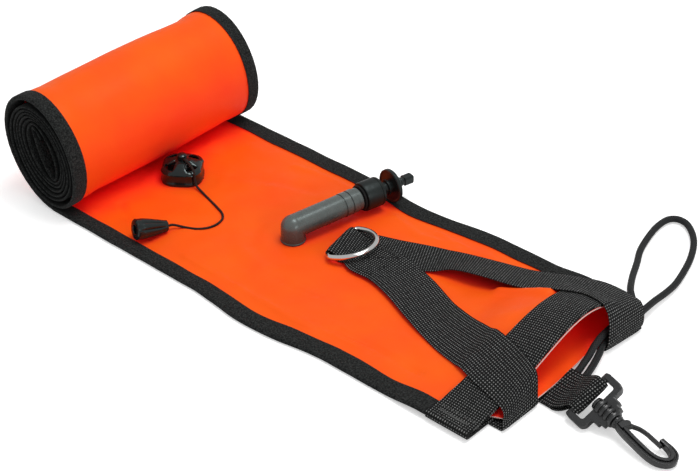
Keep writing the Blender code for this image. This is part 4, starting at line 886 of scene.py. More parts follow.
# Creases in the front panel: a line, how high it stands and how wide it is
CREASES = [
    ([(-0.030, -0.0590), (0.010, -0.0585), (0.052, -0.0600), (0.078, -0.0560), (0.100, -0.0530)],
     0.0007, 0.0022),
    ([(0.075, -0.0500), (0.105, -0.0490), (0.132, -0.0505)], -0.0006, 0.0016),
    ([(0.030, 0.0480), (0.052, 0.0440), (0.075, 0.0490)], 0.0006, 0.0024),
    ([(0.058, 0.0530), (0.082, 0.0505), (0.100, 0.0540)], 0.0006, 0.0020),
    ([(-0.070, 0.0180), (-0.045, 0.0300), (-0.022, 0.0370)], -0.0005, 0.0040),
    ([(-0.020, -0.0300), (0.020, -0.0420), (0.050, -0.0400)], 0.0005, 0.0050),
    ([(-0.050, 0.0500), (-0.020, 0.0560), (0.010, 0.0540)], 0.0005, 0.0022),
    ([(-0.098, -0.0450), (-0.080, -0.0540), (-0.060, -0.0590)], -0.0006, 0.0022),
]
PUCKER_LINE = [(0.1220, 0.0272), (0.1370, 0.0300), (0.1500, 0.0335)]
PUCKER_RISE = 0.0030
PUCKER_WIDTH = 0.0030


def ridge(x, y, line, width):
    return math.exp(-(from_line(x, y, line) / width) ** 2)


def front_wrinkle(x, y):
    """Height of the front panel's soft waves and creases; none where something lies on it."""
    # Room left beside what lies on the panel, and over what distance the waves rise there
    room = [(lap_half - 0.002 - abs(y - sway(x)), 0.004),
            (math.hypot(x - DUMP_X, y - DUMP_Y) - 0.0185, 0.008),
            (math.hypot(x - INFLATOR_X, y - INFLATOR_Y) - 0.0175, 0.008),
            (from_line(x, y, NEAR_LEG_LINE) - 0.016, 0.006),
            (from_line(x, y, FAR_LEG_LINE) - 0.014, 0.006),
            (band_start - 0.003 - x, 0.006),
            (x - roll_start - 0.006, 0.012)]
    free = math.prod(smooth(distance / ramp) for distance, ramp in room)
    if free <= 0.0:
        return 0.0
    height = sum(rise * noise.noise(Vector((x * along, y * across, seed)))
                 for rise, along, across, seed in FRONT_WAVES)
    height += sum(CREASE_SHARE * rise * ridge(x, y, line, width) for line, rise, width in CREASES)
    return height * free


def pucker(x, y):
    """The fold that the far leg pulls up in the front panel just before the band."""
    return PUCKER_RISE * ridge(x, y, PUCKER_LINE, PUCKER_WIDTH) * smooth((band_start - 0.001 - x) / 0.004)


def from_roll(x):
    """0 where the tube leaves the roll, 1 a little farther on."""
    return smooth((x - roll_start - FLAT_RAMP / 4) / FLAT_RAMP)


def back_bottom(x, y):
    """Height of the back panel's lower face."""
    to_mouth = 1.0 - smooth((x - rise_start + FLAT_RAMP) / FLAT_RAMP)
    return back_z * (1.0 - inner_share(x, y) * from_roll(x) * to_mouth) + stack_rise_at(x)


def front_bottom(x, y):
    """Height of the front panel's lower face, without its waves."""
    inner = (front_inner_z - front_z) * inner_share(x, y) * from_roll(x)
    return front_z + inner + stack_rise_at(x) + arch_at(x, y)


def steepness(x, y):
    """How much a gap above the sloping front panel has to grow, measured straight up."""
    step = 0.001
    slope_x = (front_bottom(x + step, y) - front_bottom(x - step, y)) / (2.0 * step)
    slope_y = (front_bottom(x, y + step) - front_bottom(x, y - step)) / (2.0 * step)
    return math.sqrt(1.0 + slope_x ** 2 + slope_y ** 2)


def strap_height(x, y):
    """Middle height of webbing that lies on the front panel, the edge tape or the mouth band."""
    over_band = smooth((x - band_start + 2.0 * BAND_RAMP) / BAND_RAMP)
    gap = FABRIC / 2 + CLEAR + WEB / 2 + (WEB + CLEAR) * over_band
    height = front_bottom(x, y) + FABRIC / 2 + gap * steepness(x, y)
    if abs(y - sway(x)) > lap_half - CLEAR:
        height = max(height, stack + stack_rise_at(x) + CLEAR + WEB / 2)
    return height


# Cloth
cloth_ys = spread(-panel_half, panel_half, 81)
coarse_ys = spread(-panel_half + WOUND_CLOTH_INSET, panel_half - WOUND_CLOTH_INSET, 9)
flat_xs = spread(roll_start, FRONT_MOUTH_X, 1 + round((FRONT_MOUTH_X - roll_start) / FLAT_PITCH))
turn_steps = [k / TURN_STEPS for k in range(round(LAST_TURN * TURN_STEPS), -1, -1)]
outer_turns = [turns for turns in turn_steps if turns <= DENSE_TURNS]
inner_turns = [turns for turns in turn_steps if turns >= DENSE_TURNS]


def roll_swell(turns, y):
    """How far the roll's cloth stands out between the tapes, in soft flats and waves."""
    free = smooth((lap_half - 0.001 - abs(y)) / 0.010) * smooth(turns / 0.12)
    place = roll_point(turns)
    swell = sum(rise * noise.noise(Vector((place.x * round_it, y * across, place.z * round_it + seed)))
                for rise, round_it, across, seed in ROLL_WAVES)
    return (swell - 0.0002) * free


def valve_hole(point):
    return any(math.hypot(point[0] - x, point[1] - y) < radius for x, y, radius in VALVE_HOLES)


def rolled_cloth(depth):
    """The two parts of a panel in the roll: its visible turn, finely, and the wound rest."""
    middle = depth + FABRIC / 2
    outer = [[rolled_at(t, middle - roll_swell(t, y), y) for y in cloth_ys] for t in outer_turns]
    last = LAST_TURN - CLOTH_END
    inner = [[rolled_at(min(t, last), middle, y) for y in coarse_ys] for t in inner_turns[1:]]
    return outer, inner


def make_panel(side, depth, flat, trim, hole=None):
    """A panel with its rolled part, its flat rows and the pale cut edge at the mouth."""
    outer, inner = rolled_cloth(depth)
    parts = [dict(rows=outer + flat, thickness=FABRIC, edge=1.0, hole=hole),
             dict(rows=inner, thickness=FABRIC * (1.0 - PRESSED_SHARE), edge=1.0)]
    cloth = ribbon(side + "_cloth", parts, "coated_nylon", side + "_panel", side + "_panel_rolled")
    cut = [point + Vector((0.0002, 0.0, 0.0)) for point in flat[-1][trim:-trim]]
    lip = tube(side + "_lip", cut, LIP_RADIUS, 8, "coated_nylon", "buoy", material=cut_edge)


def front_mouth_at(y):
    """The panel ends almost level with the band, and behind it in the mouth's corners."""
    corner = 0.0027 * smooth((-y - 0.044) / 0.006) + 0.0080 * smooth((abs(y) - 0.0545) / 0.003)
    return FRONT_MOUTH_X - 0.0008 - corner


def back_mouth_at(y):
    """The panel reaches past the band, less so at its corners and on the far side."""
    far_share = smooth((y + lap_half / 3) / lap_half) + 2.5 * smooth((y - 0.0545) / 0.003)
    near_share = smooth((-y - NEAR_CORNER_START) / NEAR_CORNER_RAMP)
    return BACK_MOUTH_X - BACK_MOUTH_RECESS * far_share - NEAR_CORNER_RECESS * near_share


def make_front():
    flat = []
    for x in flat_xs[1:]:
        ys = [y + sway(x) for y in cloth_ys]
        flat.append([Vector((min(x, front_mouth_at(y)), y, front_bottom(x, y) + FABRIC / 2
                             + front_wrinkle(x, y) + pucker(x, y))) for y in ys])
    make_panel("front", front_z, flat, 6, valve_hole)


def make_back():
    flat = []
    for x in [x for x in flat_xs[1:] if x < band_end]:
        ys = [y + sway(x) for y in cloth_ys]
        flat.append([Vector((min(x, back_mouth_at(y)), y, back_bottom(x, y) + FABRIC / 2)) for y in ys])
    height = back_bottom(band_end, 0.0) + FABRIC / 2
    for share in (0.25, 0.5, 0.75, 1.0):
        row = []
        for y in cloth_ys:
            end = back_mouth_at(y)
            row.append(Vector((min(band_end + max(0.0, end - band_end) * share, end), y, height)))
        flat.append(row)
    make_panel("back", back_z, flat, 2)


# Edge tapes
def tape_section(side, wobble_low, wobble_high, outer):
    """The folded tape's middle line, as (y, height above the tube's outer face)."""
    low = TAPE / 2
    high = stack - TAPE / 2
    radius = (high - low) / 2
    fold = half_width - TAPE / 2 - radius
    found = [(y, low) for y in spread(lap_half + wobble_low, fold, 6)]
    found += [(y, stack / 2 + z) for y, z in arc((fold, 0.0), radius, -90, 90, 6)[1:-1]]
    found += [(y, high) for y in spread(fold, lap_half + wobble_high, 6)]
    return [(side * (y + outer * (y - lap_half) / TAPE_LAP), z) for y, z in found]


def make_tape(name, side, *replaced):
    """The tape folded over one long edge, in the roll and on the flat part, a little uneven."""
    flat = []
    end = band_start - CLEAR
    for x in spread(roll_start, end, 1 + round((end - roll_start) / TAPE_PITCH)):
        wobble = [TAPE_WOBBLE * noise.noise(Vector((x * 45.0, side * 3.0, k))) for k in (0.0, 5.0)]
        if side < 0:
            wobble[1] += NEAR_TAPE_NARROWER * (1.0 - smooth((x + 0.03) / 0.10))
        outer = TAPE_SPREAD * (0.7 + noise.noise(Vector((x * 60.0, side * 3.0, 9.0))))
        flat.append([Vector((x, y + sway(x), z + stack_rise_at(x)))
                     for y, z in tape_section(side, *wobble, outer)])
    rolled = []
    thickness = []
    for turns in inner_turns[:-1] + outer_turns[:-1]:
        wobble = [ROLL_TAPE_WOBBLE * noise.noise(Vector((turns * 5.0, side * 3.0, k))) for k in (20.0, 25.0)]
        wobble[0] += ROLL_TAPE_NARROWER * smooth(turns / 0.15)
        outer = 0.7 + noise.noise(Vector((turns * 3.1, side * 5.0, 31.0)))
        outer *= ROLL_TAPE_SPREAD * smooth(turns / 0.3)
        rolled.append([rolled_at(turns, z, y) for y, z in tape_section(side, *wobble, outer)])
        thickness.append(TAPE * pressed(turns))
    rows = rolled + flat
    tape = ribbon(name, [dict(rows=rows, thickness=thickness + [TAPE] * len(flat))], "edge_tape", *replaced)


def make_end_tape():
    """The tape folded over the tube's top end, at the core of the roll."""
    lap = [LAST_TURN - k * 0.04 for k in range(8, -1, -1)]
    path = [(t, TAPE / 2) for t in lap]
    path += [(LAST_TURN + 0.008, z) for z in (0.0006, stack / 2, stack - 0.0006)]
    path += [(t, stack - TAPE / 2) for t in reversed(lap)]
    ys = spread(-lap_half + 0.0012, lap_half - 0.0012, 25)
    rows = [[rolled_at(t, depth, y) for y in ys] for t, depth in path]
    strip = dict(rows=rows, thickness=TAPE * (1.0 - PRESSED_SHARE))
    tape = ribbon("end_tape", [strip], "edge_tape", "top_end_tape")


make_front()
make_back()
make_tape("near_tape", -1, "near_binding", "near_binding_rolled")
make_tape("far_tape", 1, "far_binding", "far_binding_rolled")
make_end_tape()


# Webbing
def surface_point(strip, u, v):
    """A point on a strip's upper face at distances u and v along and across it, and its normal."""
    grid, normals, half, us, vs = strip
    i = min(len(us) - 2, max(0, int(np.searchsorted(us, u)) - 1))
    j = min(len(vs) - 2, max(0, int(np.searchsorted(vs, v)) - 1))
    s = (u - us[i]) / (us[i + 1] - us[i])
    t = (v - vs[j]) / (vs[j + 1] - vs[j])
    place = ((grid[i, j] * (1 - s) + grid[i + 1, j] * s) * (1 - t)
             + (grid[i, j + 1] * (1 - s) + grid[i + 1, j + 1] * s) * t)
    return Vector(place + normals[i, j] * float(half[i, 0])), Vector(normals[i, j])


def make_stitches(name, strip_name, paths, material=thread):
    """Rows of short stitches on a strip, along paths of (u, v) distances."""
    parts = []
    for path in paths:
        for (u0, v0), (u1, v1) in zip(path, path[1:]):
            count = max(1, round(math.hypot(u1 - u0, v1 - v0) / STITCH_STEP))
            for k in range(count):
                places = []
                for share, _ in STITCH_SHAPE:
                    at = (k + 0.5 + share * STITCH / STITCH_STEP) / count
                    places.append(surface_point(strips[strip_name], u0 + (u1 - u0) * at, v0 + (v1 - v0) * at))
                way = (places[-1][0] - places[0][0]).normalized()
                rings = []
                for (place, normal), (_, swell) in zip(places, STITCH_SHAPE):
                    across = way.cross(normal).normalized() * THREAD * swell
                    up = normal * THREAD * swell
                    rings.append([place + across * math.cos(turn) + up * (math.sin(turn) + 0.2)
                                  for turn in full_turn(6)])
                parts.append(loft_parts(rings))
    assembled(name, parts, "webbing", "buoy", material=material, sharp=None)


def zigzag(u, v, step, count):
    """Stitches to and fro between two values of u or v, whichever is given as a pair."""
    if isinstance(u, tuple):
        return [(u[k % 2], v + step * k) for k in range(count)]
    return [(u + step * k, v[k % 2]) for k in range(count)]


def box_stitch(u0, u1, v0, v1, cross=True):
    found = [[(u0, v0), (u1, v0), (u1, v1), (u0, v1), (u0, v0)]]
    if cross:
        found += [[(u0, v0), (u1, v1)], [(u0, v1), (u1, v0)]]
    return found


def make_band():
    """The webbing sewn round the mouth, one closed ring for each step along the tube."""
    side = panel_half + CLEAR + WEB / 2
    gap = FABRIC / 2 + CLEAR + WEB / 2
    rows = []
    ys = spread(-lap_half, lap_half, 61)
    for x in spread(band_start, band_end, 14):
        top = [(y, front_bottom(x, y) + FABRIC / 2 + gap * steepness(x, y)) for y in ys]
        low = back_bottom(x, 0.0) - CLEAR - WEB / 2
        edge = top[0][1]
        bend = min(0.0009, (edge - low) / 2)
        near = shifted([(bend, 0.0), (bend * 0.3, bend * 0.3), (0.0, bend)], -side, low)
        near += shifted([(0.0, -bend), (bend * 0.3, -bend * 0.3), (bend, 0.0)], -side, edge)
        near += [(y, edge) for y in spread(-side + bend, -lap_half, 6)[1:-1]]
        ring = near + top + [(-y, z) for y, z in reversed(near)]
        ring += [(y, low) for y in spread(lap_half, -lap_half, 25)]
        rows.append([Vector((x, y, z)) for y, z in ring])
    band = ribbon("mouth_webbing", [dict(rows=rows, thickness=WEB, ring=True)], "webbing", "mouth_band")
    paths = [zigzag(0.0040, (0.0070, 0.0098), 0.0008, 24)]
    paths += [[(0.0025, v), (0.0245, v)] for v in (0.0052, 0.0120)]
    make_stitches("corner_thread", "mouth_webbing", paths, pale_thread)


ring_bar = Vector((-math.sin(RING_TURN), math.cos(RING_TURN), 0.0))
ring_out = Vector((math.cos(RING_TURN), math.sin(RING_TURN), 0.0))
ring_centre = Vector((RING_X, RING_Y, panel_top + CLEAR + WEB + CLEAR + RING_WIRE_RADIUS))
fold_radius = RING_WIRE_RADIUS + CLEAR + WEB / 2
bridle_half = BRIDLE_WEB_WIDTH / 2
fold_half = BRIDLE_FOLD_WIDTH / 2
under_web = WEB / 2
under_start = band_start - RISE_SETBACK
wrap_x = BACK_MOUTH_X + CLEAR + WEB / 2
over_lip_x = FRONT_MOUTH_X + CLEAR + WEB / 2
mouth_z = back_z + stack_rise + FABRIC + WEB
# The near leg's middle line with its heading in degrees, first on the far leg, then on the panel
NEAR_LEG_ON_FAR_LEG = [((0.0470, 0.0054), 0.0), ((0.0600, 0.0058), -3.0), ((0.0715, 0.0038), -14.0)]
NEAR_LEG_ON_PANEL = [
    ((0.0715, 0.0038), -14.0), ((0.0845, -0.0004), -20.0), ((0.1000, -0.0068), -21.0),
    ((0.1170, -0.0134), -20.0), ((0.1370, -0.0204), -18.0), ((0.1490, -0.0243), -18.0),
    ((0.1640, -0.0295), -19.0),
]
NEAR_LIP_YS = (-0.0495, -0.0222)
NEAR_WRAP_YS = (-0.0555, -0.0275)
# Both edges of the far leg, and of the tab on its way out under the mouth and back over it
FAR_LEG_EDGES = [
    ((0.0560, 0.0060, 0.0), (0.0475, 0.0320, 0.0)),
    ((0.0735, 0.0165, 0.0), (0.0650, 0.0395, 0.0)),
    ((0.0815, 0.0206, 0.0046), (0.0745, 0.0428, 0.0036)),
    ((0.0920, 0.0242, 0.0088), (0.0850, 0.0465, 0.0040)),
    ((0.1090, 0.0262, 0.0120), (0.1030, 0.0520, 0.0042)),
    ((0.1267, 0.0290, 0.0132), (0.1205, 0.0555, 0.0056)),
    ((0.1400, 0.0315, 0.0150), (0.1335, 0.0585, 0.0080)),
    ((0.1530, 0.0350, 0.0178), (0.1480, 0.0625, 0.0104)),
    ((0.1680, 0.0392, 0.0205), (0.1640, 0.0660, 0.0120)),
]
FAR_LIP_EDGES = ((0.0340, 0.0243), (0.0645, 0.0128))
FAR_LEG_WRAP = [
    ((0.0000, 0.0310, 0.0205), (0.0008, 0.0615, 0.0120)),
    ((0.0020, 0.0295, 0.0120), (0.0038, 0.0585, 0.0075)),
    ((0.0015, 0.0290, 0.0040), (0.0034, 0.0575, 0.0030)),
    ((-0.0040, 0.0290, 0.0), (-0.0010, 0.0575, 0.0)),
]
TAB_OUT = [
    ((0.1900, -0.0255, 0.0006), (0.1900, -0.0005, 0.0006)),
    ((0.1975, -0.0258, 0.0006), (0.2010, -0.0014, 0.0010)),
    ((0.2015, -0.0242, 0.0014), (0.2067, -0.0035, 0.0088)),
]
TAB_BACK = [
    ((0.2010, -0.0256, 0.0046), (0.2054, -0.0050, 0.0142)),
    ((0.1970, -0.0260, 0.0027), (0.2006, -0.0030, 0.0100)),
    ((0.1932, -0.0257, 0.0021), (0.1955, -0.0012, 0.0079)),
    ((0.1896, -0.0255, 0.0021), (0.1896, -0.0005, 0.0077)),
]
RING_GUSSET = [((0.0255, 0.0090), (0.0231, 0.0247)), ((0.0400, 0.0110), (0.0350, 0.0279))]


def rows_between(pairs, steps):
    """Rows across a strap, from the curves along its two edges."""
    edges = [curve_through([Vector(pair[side]) for pair in pairs], steps) for side in (0, 1)]
    return [spread(low, high, STRAP_COLUMNS) for low, high in zip(*edges)]


def strap_rows(pairs):
    """Rows across a strap, kept above what it lies on."""
    rows = rows_between(pairs, STRAP_STEPS)
    for point in [point for row in rows for point in row]:
        if point.z > back_z + stack_rise and point.x < FRONT_MOUTH_X + WEB:
            point.z = max(point.z, strap_height(point.x, point.y))
        point.z = max(point.z, under_web)
    return rows


def laid_across(stations, z):
    """Both edges of a leg of the bridle at each (centre, heading)."""
    found = []
    for centre, heading in stations:
        side = polar(bridle_half, math.radians(heading + 90.0), 0.0)
        middle = Vector((*centre, z))
        found.append((middle - side, middle + side))
    return found


def finish_strap(name, rows, replaced):
    strap = ribbon(name, [dict(rows=rows, thickness=WEB)], "webbing", replaced)
    us, vs = strips[name][3:]
    return us[-1], vs[-1]


def make_near_leg():
    """From under the D-ring's bar, round it, over the panel and round the mouth's lips."""
    laid = panel_top + CLEAR + WEB + CLEAR + WEB / 2
    rows = []
    for angle in range(270, 59, -10):
        turn = math.radians(angle)
        middle = ring_centre + ring_out * fold_radius * math.cos(turn)
        middle.z += fold_radius * math.sin(turn)
        rows.append(spread(middle - ring_bar * fold_half, middle + ring_bar * fold_half, STRAP_COLUMNS))
    rows.insert(0, [point + ring_out * fold_radius for point in rows[0]])
    landing = ring_centre + ring_out * 3 * fold_radius
    landing.z = laid
    pairs = [(rows[-1][0], rows[-1][-1]), (landing - ring_bar * fold_half, landing + ring_bar * fold_half)]
    rows += strap_rows(pairs + laid_across(NEAR_LEG_ON_FAR_LEG, laid))[1:]
    pairs = laid_across(NEAR_LEG_ON_PANEL, laid)
    pairs.append([(over_lip_x, y, strap_height(over_lip_x, y)) for y in NEAR_LIP_YS])
    for x, z in ((wrap_x, mouth_z), (wrap_x, 2 * under_web), (BACK_MOUTH_X - 4 * WEB, under_web),
                 (under_start, under_web)):
        pairs.append([(x, y, z) for y in NEAR_WRAP_YS])
    rows += strap_rows(pairs)[1:]
    _, wide = finish_strap("near_strap", rows, "bridle_near_leg")
    make_stitches("near_strap_thread", "near_strap", box_stitch(0.020, 0.044, 0.003, wide - 0.003))


def make_far_leg():
    """From beside the D-ring's bar over the panel and round the mouth's lips."""
    laid = panel_top + CLEAR + WEB / 2
    start = ring_centre + ring_out * (fold_radius + CLEAR + WEB)
    start.z = laid
    low = start - ring_bar * fold_half
    high = start + ring_bar * (fold_half + 0.0012)
    pairs = [(low, high), (low + ring_out * 0.006, high + ring_out * 0.007 + ring_bar * 0.0045)]
    pairs += [[(x, y, max(z, laid)) for x, y, z in edges] for edges in FAR_LEG_EDGES]
    pairs.append([(over_lip_x, y, z) for y, z in FAR_LIP_EDGES])
    pairs += [[(wrap_x + x, y, max(z, under_web)) for x, y, z in edges] for edges in FAR_LEG_WRAP]
    pairs.append([(under_start, y, under_web) for _, y, _ in pairs[-1]])
    finish_strap("far_strap", strap_rows(pairs), "bridle_far_leg")


snap_turn = (Matrix.Translation((BAR_X, SNAP_Y, SNAP_Z)) @ Matrix.Rotation(SNAP_YAW, 4, "Z")
             @ Matrix.Rotation(SNAP_PITCH, 4, "Y"))
snap_place = snap_turn @ Matrix.Rotation(SNAP_ROLL, 4, "X")


def make_tab():
    """Webbing sewn under the mouth, round the snap's bar and back over the bungee's ends."""
    loop = BAR_RADIUS + CLEAR + WEB / 2
    pairs = [[(under_start, TAB_Y + side * TAB_WEB_WIDTH / 2, under_web) for side in (-1, 1)]] + TAB_OUT
    for x, z in [(-loop, -loop), *arc((0.0, 0.0), loop, -90, 90, 12), (-loop, BAR_RADIUS)]:
        pairs.append([snap_place @ Vector((x, side * TAB_FOLD_WIDTH / 2, z)) for side in (-1, 1)])
    rows = rows_between(pairs + TAB_BACK, 3)
    long, wide = finish_strap("tab", rows, "snap_tab")
    paths = box_stitch(long - 0.0115, long - 0.0015, 0.003, wide - 0.003, False)
    paths.append(zigzag((long - 0.0025, long - 0.0105), 0.004, 0.0011, 17))
    make_stitches("tab_thread", "tab", paths)


def make_ring_gusset():
    """The strap's lower layer that shows inside the D-ring."""
    rows = []
    for edges in RING_GUSSET:
        low, high = [Vector((*place, panel_top + WEB / 2)) for place in edges]
        rows.append(spread(low, high, STRAP_COLUMNS))
    ribbon("ring_gusset", [dict(rows=rows, thickness=WEB / 2)], "webbing")


make_band()
make_ring_gusset()
make_near_leg()
make_far_leg()
make_tab()


# Oral inflator
barrel_way = Vector((math.cos(INFLATOR_HEADING), math.sin(INFLATOR_HEADING), 0.0))
barrel_start = Vector((INFLATOR_X, INFLATOR_Y, BARREL_HEIGHT))
elbow_centre = barrel_start - barrel_way * ELBOW_SHIFT - Vector((0.0, 0.0, ELBOW_SINK))
barrel_place = placed(barrel_way, barrel_start)
barrel_end = barrel_start + barrel_way * BARREL_LENGTH
valve_base = panel_top + CLEAR
lock_start = BARREL_LENGTH + CLEAR + SEAL_WIDTH + CLEAR
body_end = lock_start + LOCK_RING_LENGTH + CLEAR
disc_start = body_end + NECK_LENGTH
disc_end = disc_start + MOUTH_DISC_THICKNESS


def make_elbow():
    """Upright tube with a ball-shaped corner, and the barrel with its stepped, grooved end."""
    radius = BARREL_RADIUS - 0.0001
    profile = [(0.0, valve_base)]
    profile += shifted([(0.0003, 0.0), (0.0003, 0.0006), (0.0, 0.0010)], radius, valve_base)
    profile += [(radius * math.cos(turn), elbow_centre.z + radius * math.sin(turn))
                for turn in spread(0.0, math.pi / 2, 16)]
    parts = [turned_parts(profile, 56, Matrix.Translation((elbow_centre.x, elbow_centre.y, 0.0)))]
    sloped = barrel_end - elbow_centre
    end = sloped.length
    profile = [(0.0, 0.0), (BARREL_RADIUS - 0.0002, 0.0)] + shifted([
        (-0.0002, -0.0125), (-0.0004, -0.0123), (-0.0004, -0.0119), (0.0, -0.0117), (0.0, -0.0078),
        (-0.0004, -0.0076), (-0.0004, -0.0072), (0.0, -0.0070), (0.0, -0.0034), (-0.0004, -0.0031),
        (-0.0004, -0.0006), (-0.0008, 0.0)], BARREL_RADIUS, end)
    profile += [(BARREL_BORE, end), (BARREL_BORE, end - 0.004), (0.0, end - 0.004)]
    parts.append(turned_parts(profile, 56, placed(sloped.normalized(), elbow_centre)))
    assembled("elbow", parts, "grey_plastic", "buoy", "inflator_elbow", sharp=28.0)


def make_lock_ring():
    bore = VALVE_BODY_RADIUS + CLEAR
    last = lock_start + LOCK_RING_LENGTH
    profile = [(bore, lock_start)]
    profile += shifted([(-0.0009, 0.0), (-0.0003, 0.0003), (0.0, 0.0010)], LOCK_RING_RADIUS, lock_start)
    profile += shifted([(0.0, -0.0024), (-0.00025, -0.0022), (-0.00025, -0.0018), (0.0, -0.0016),
                        (0.0, -0.0007), (-0.0003, -0.0001), (-0.0008, 0.0)], LOCK_RING_RADIUS, last)
    profile += shifted([(0.0012, 0.0), (0.0008, -0.0006), (0.0, -0.0006)], bore, last)
    ring = turned_parts(profile, 72, barrel_place, joined=True)
    assembled("lock_ring_fine", [ring], "dark_plastic", "lock_ring", "inflator_lock_ring", sharp=28.0)


def make_plunger():
    """Poppet, stem, neck with its small flange, guard disc with a thick rim, and the mouth tube."""
    head_top = BARREL_LENGTH - VALVE_BODY_INSERT - CLEAR
    head_low = head_top - POPPET_LENGTH
    collar_end = body_end - CLEAR
    collar_start = collar_end - POPPET_LENGTH / 3
    neck = STEM_RADIUS + 0.0006
    tip = disc_end + NIPPLE_LENGTH
    profile = [(0.0, head_low), (POPPET_RADIUS - 0.0006, head_low), (POPPET_RADIUS, head_low + 0.0006),
               (POPPET_RADIUS, head_top), (STEM_RADIUS, head_top), (STEM_RADIUS, collar_start)]
    profile += [(SPRING_BORE_RADIUS - CLEAR, z) for z in (collar_start, collar_end)] + [(neck, collar_end)]
    profile += shifted([(0.0, -0.0030), (0.0013, -0.0028), (0.0013, -0.0017), (0.0003, -0.0014),
                        (0.0003, 0.0004)], neck, disc_start)
    profile += shifted([(-0.0016, 0.0005), (-0.0009, 0.0001), (-0.0004, 0.0), (0.0, 0.0004)],
                       MOUTH_DISC_RADIUS, disc_start)
    profile += shifted([(0.0, -0.0004), (-0.0004, 0.0), (-0.0010, -0.0001), (-0.0017, -0.0006)],
                       MOUTH_DISC_RADIUS, disc_end)
    profile += shifted([(0.0010, -0.0006), (0.0, 0.0006), (-0.0004, 0.0030), (-0.0001, 0.0052),
                        (-0.0006, 0.0056), (-0.0006, 0.0070), (0.0002, 0.0074)], NIPPLE_RADIUS, disc_end)
    profile += shifted([(0.0002, -0.0006), (-0.0003, 0.0)], NIPPLE_RADIUS, tip)
    profile += [(0.0014, tip), (0.0012, tip - 0.0045), (0.0, tip - 0.0045)]

    def squared(turn, i):
        """Flattens the mouth tube's thick end, the rings 28 to 30, on four sides."""
        if not 28 <= i <= 30:
            return 0.0
        flat = 0.84 / max(abs(math.cos(turn)), abs(math.sin(turn)))
        return profile[i][0] * (min(1.0, flat) - 1.0)

    assembled("plunger_fine", [turned_parts(profile, 64, barrel_place, squared)], "black_acetal",
              "plunger", "inflator_plunger", material=plunger_black, sharp=28.0)


def coil(name, radius, low, high, turns, thick, place, replaced):
    """A spring whose turns lie a little closer at its ends."""
    count = round(turns * 28)
    points = []
    for k in range(count + 1):
        height = low + (high - low) * (0.25 * smooth(k / count) + 0.75 * k / count)
        points.append(place @ polar(radius, 2.0 * math.pi * turns * k / count, height))
    return tube(name, points, thick, 8, "spring_steel", "buoy", replaced)


def make_inflator_spring():
    low = lock_start + CLEAR + SPRING_WIRE_RADIUS
    high = body_end - CLEAR - POPPET_LENGTH / 3 - CLEAR - SPRING_WIRE_RADIUS
    radius = (SPRING_BORE_RADIUS + STEM_RADIUS) / 2
    spring = coil("plunger_spring", radius, low, high, 5, SPRING_WIRE_RADIUS, barrel_place, "inflator_spring")
    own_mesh(spring)


# Dump valve
CAP_TURN = math.radians(-8.0)
CAP_WINDOW_HALF = math.radians(24.0)
dump_place = Matrix.Translation((DUMP_X, DUMP_Y, 0.0))
# The cap's middle line from its foot to its hub, as steps inwards and upwards
CAP_PROFILE = [(0.0, 0.0), (0.0002, 0.0009), (-0.0003, 0.0015), (-0.0003, 0.0058), (-0.0004, 0.0070),
               (-0.0009, 0.0077), (-0.0021, 0.0084), (-0.0034, 0.0090), (-0.0047, 0.0095), (-0.0059, 0.0100),
               (-0.0069, 0.0104), (-0.0077, 0.0107), (-0.0084, 0.0109), (-0.0091, 0.0112), (-0.0099, 0.0113),
               (-0.0104, 0.0112), (-0.0107, 0.0112)]


def off_window(turn):
    """Angle from the middle of the nearest of the cap's four windows."""
    return abs((turn - CAP_TURN + math.pi / 4) % (math.pi / 2) - math.pi / 4)


def in_window(turn, i):
    """A window is a wedge that is wide at the cap's edge and narrow at its hub."""
    return 6 <= i < 11 and CAP_WINDOW_HALF * (1.0 - 0.16 * (i - 6)) >= off_window(turn)


def make_dump_cap():
    """Four-lobed cap: windows in its sloping shoulder between broad arms, and a raised hub."""
    segments = 144
    points = []
    plain = shifted(CAP_PROFILE, DUMP_CAP_RADIUS - DUMP_CAP_WALL / 2, valve_base)
    for turn in full_turn(segments):
        lobe = math.cos(4.0 * (turn - CAP_TURN))
        arm = smooth((off_window(turn) - CAP_WINDOW_HALF + math.radians(5.0)) / math.radians(7.0))
        for i, (radius, height) in enumerate(plain):
            lip = 0.0006 * (1.0 - arm) if i in (4, 5) else 0.0
            raised = 0.0005 * arm if 5 < i < 12 else 0.0
            swell = 0.0007 * lobe * smooth((10 - i) / 6.0)
            points.append(dump_place @ polar(radius + swell + lip, turn, height + raised))
    count = len(CAP_PROFILE)
    faces = []
    for k in range(segments):
        here = k * count
        after = (k + 1) % segments * count
        for i in range(count - 1):
            if not in_window(2.0 * math.pi * (k + 0.5) / segments, i):
                faces.append((here + i, after + i, after + i + 1, here + i + 1))
    cap = mesh_object("cap_fine", points, faces, gloss)
    wall = cap.modifiers.new("wall", "SOLIDIFY")
    wall.thickness = DUMP_CAP_WALL
    wall.offset = 0.0
    soften(cap, 0.0002, 50.0)
    settle(cap, "gloss_plastic", "buoy", "dump_cap")


def make_dump_stem():
    """Stem, spring plate and the rounded knob that the cord is tied to."""
    stem = 0.0012
    plate = 0.0086
    knob = DUMP_CAP_TOP + CLEAR
    profile = [(0.0, flange_low), (stem, flange_low)]
    profile += shifted([(0.0, 0.0), (0.0033, 0.0), (0.0033, 0.0006), (0.0, 0.0006)], stem, plate)
    profile += shifted([(0.0012, 0.0), (0.0022, 0.0), (0.0027, 0.0004), (0.0027, 0.0011), (0.0020, 0.0014),
                        (0.0019, 0.0017), (0.0027, 0.0020), (0.0028, 0.0025), (0.0023, 0.0030),
                        (0.0012, 0.0033), (0.0, 0.0034)], 0.0, knob)
    body = turned_parts(profile, 36, dump_place)
    assembled("stem_fine", [body], "gloss_plastic", "dump_stem", "dump_stem")


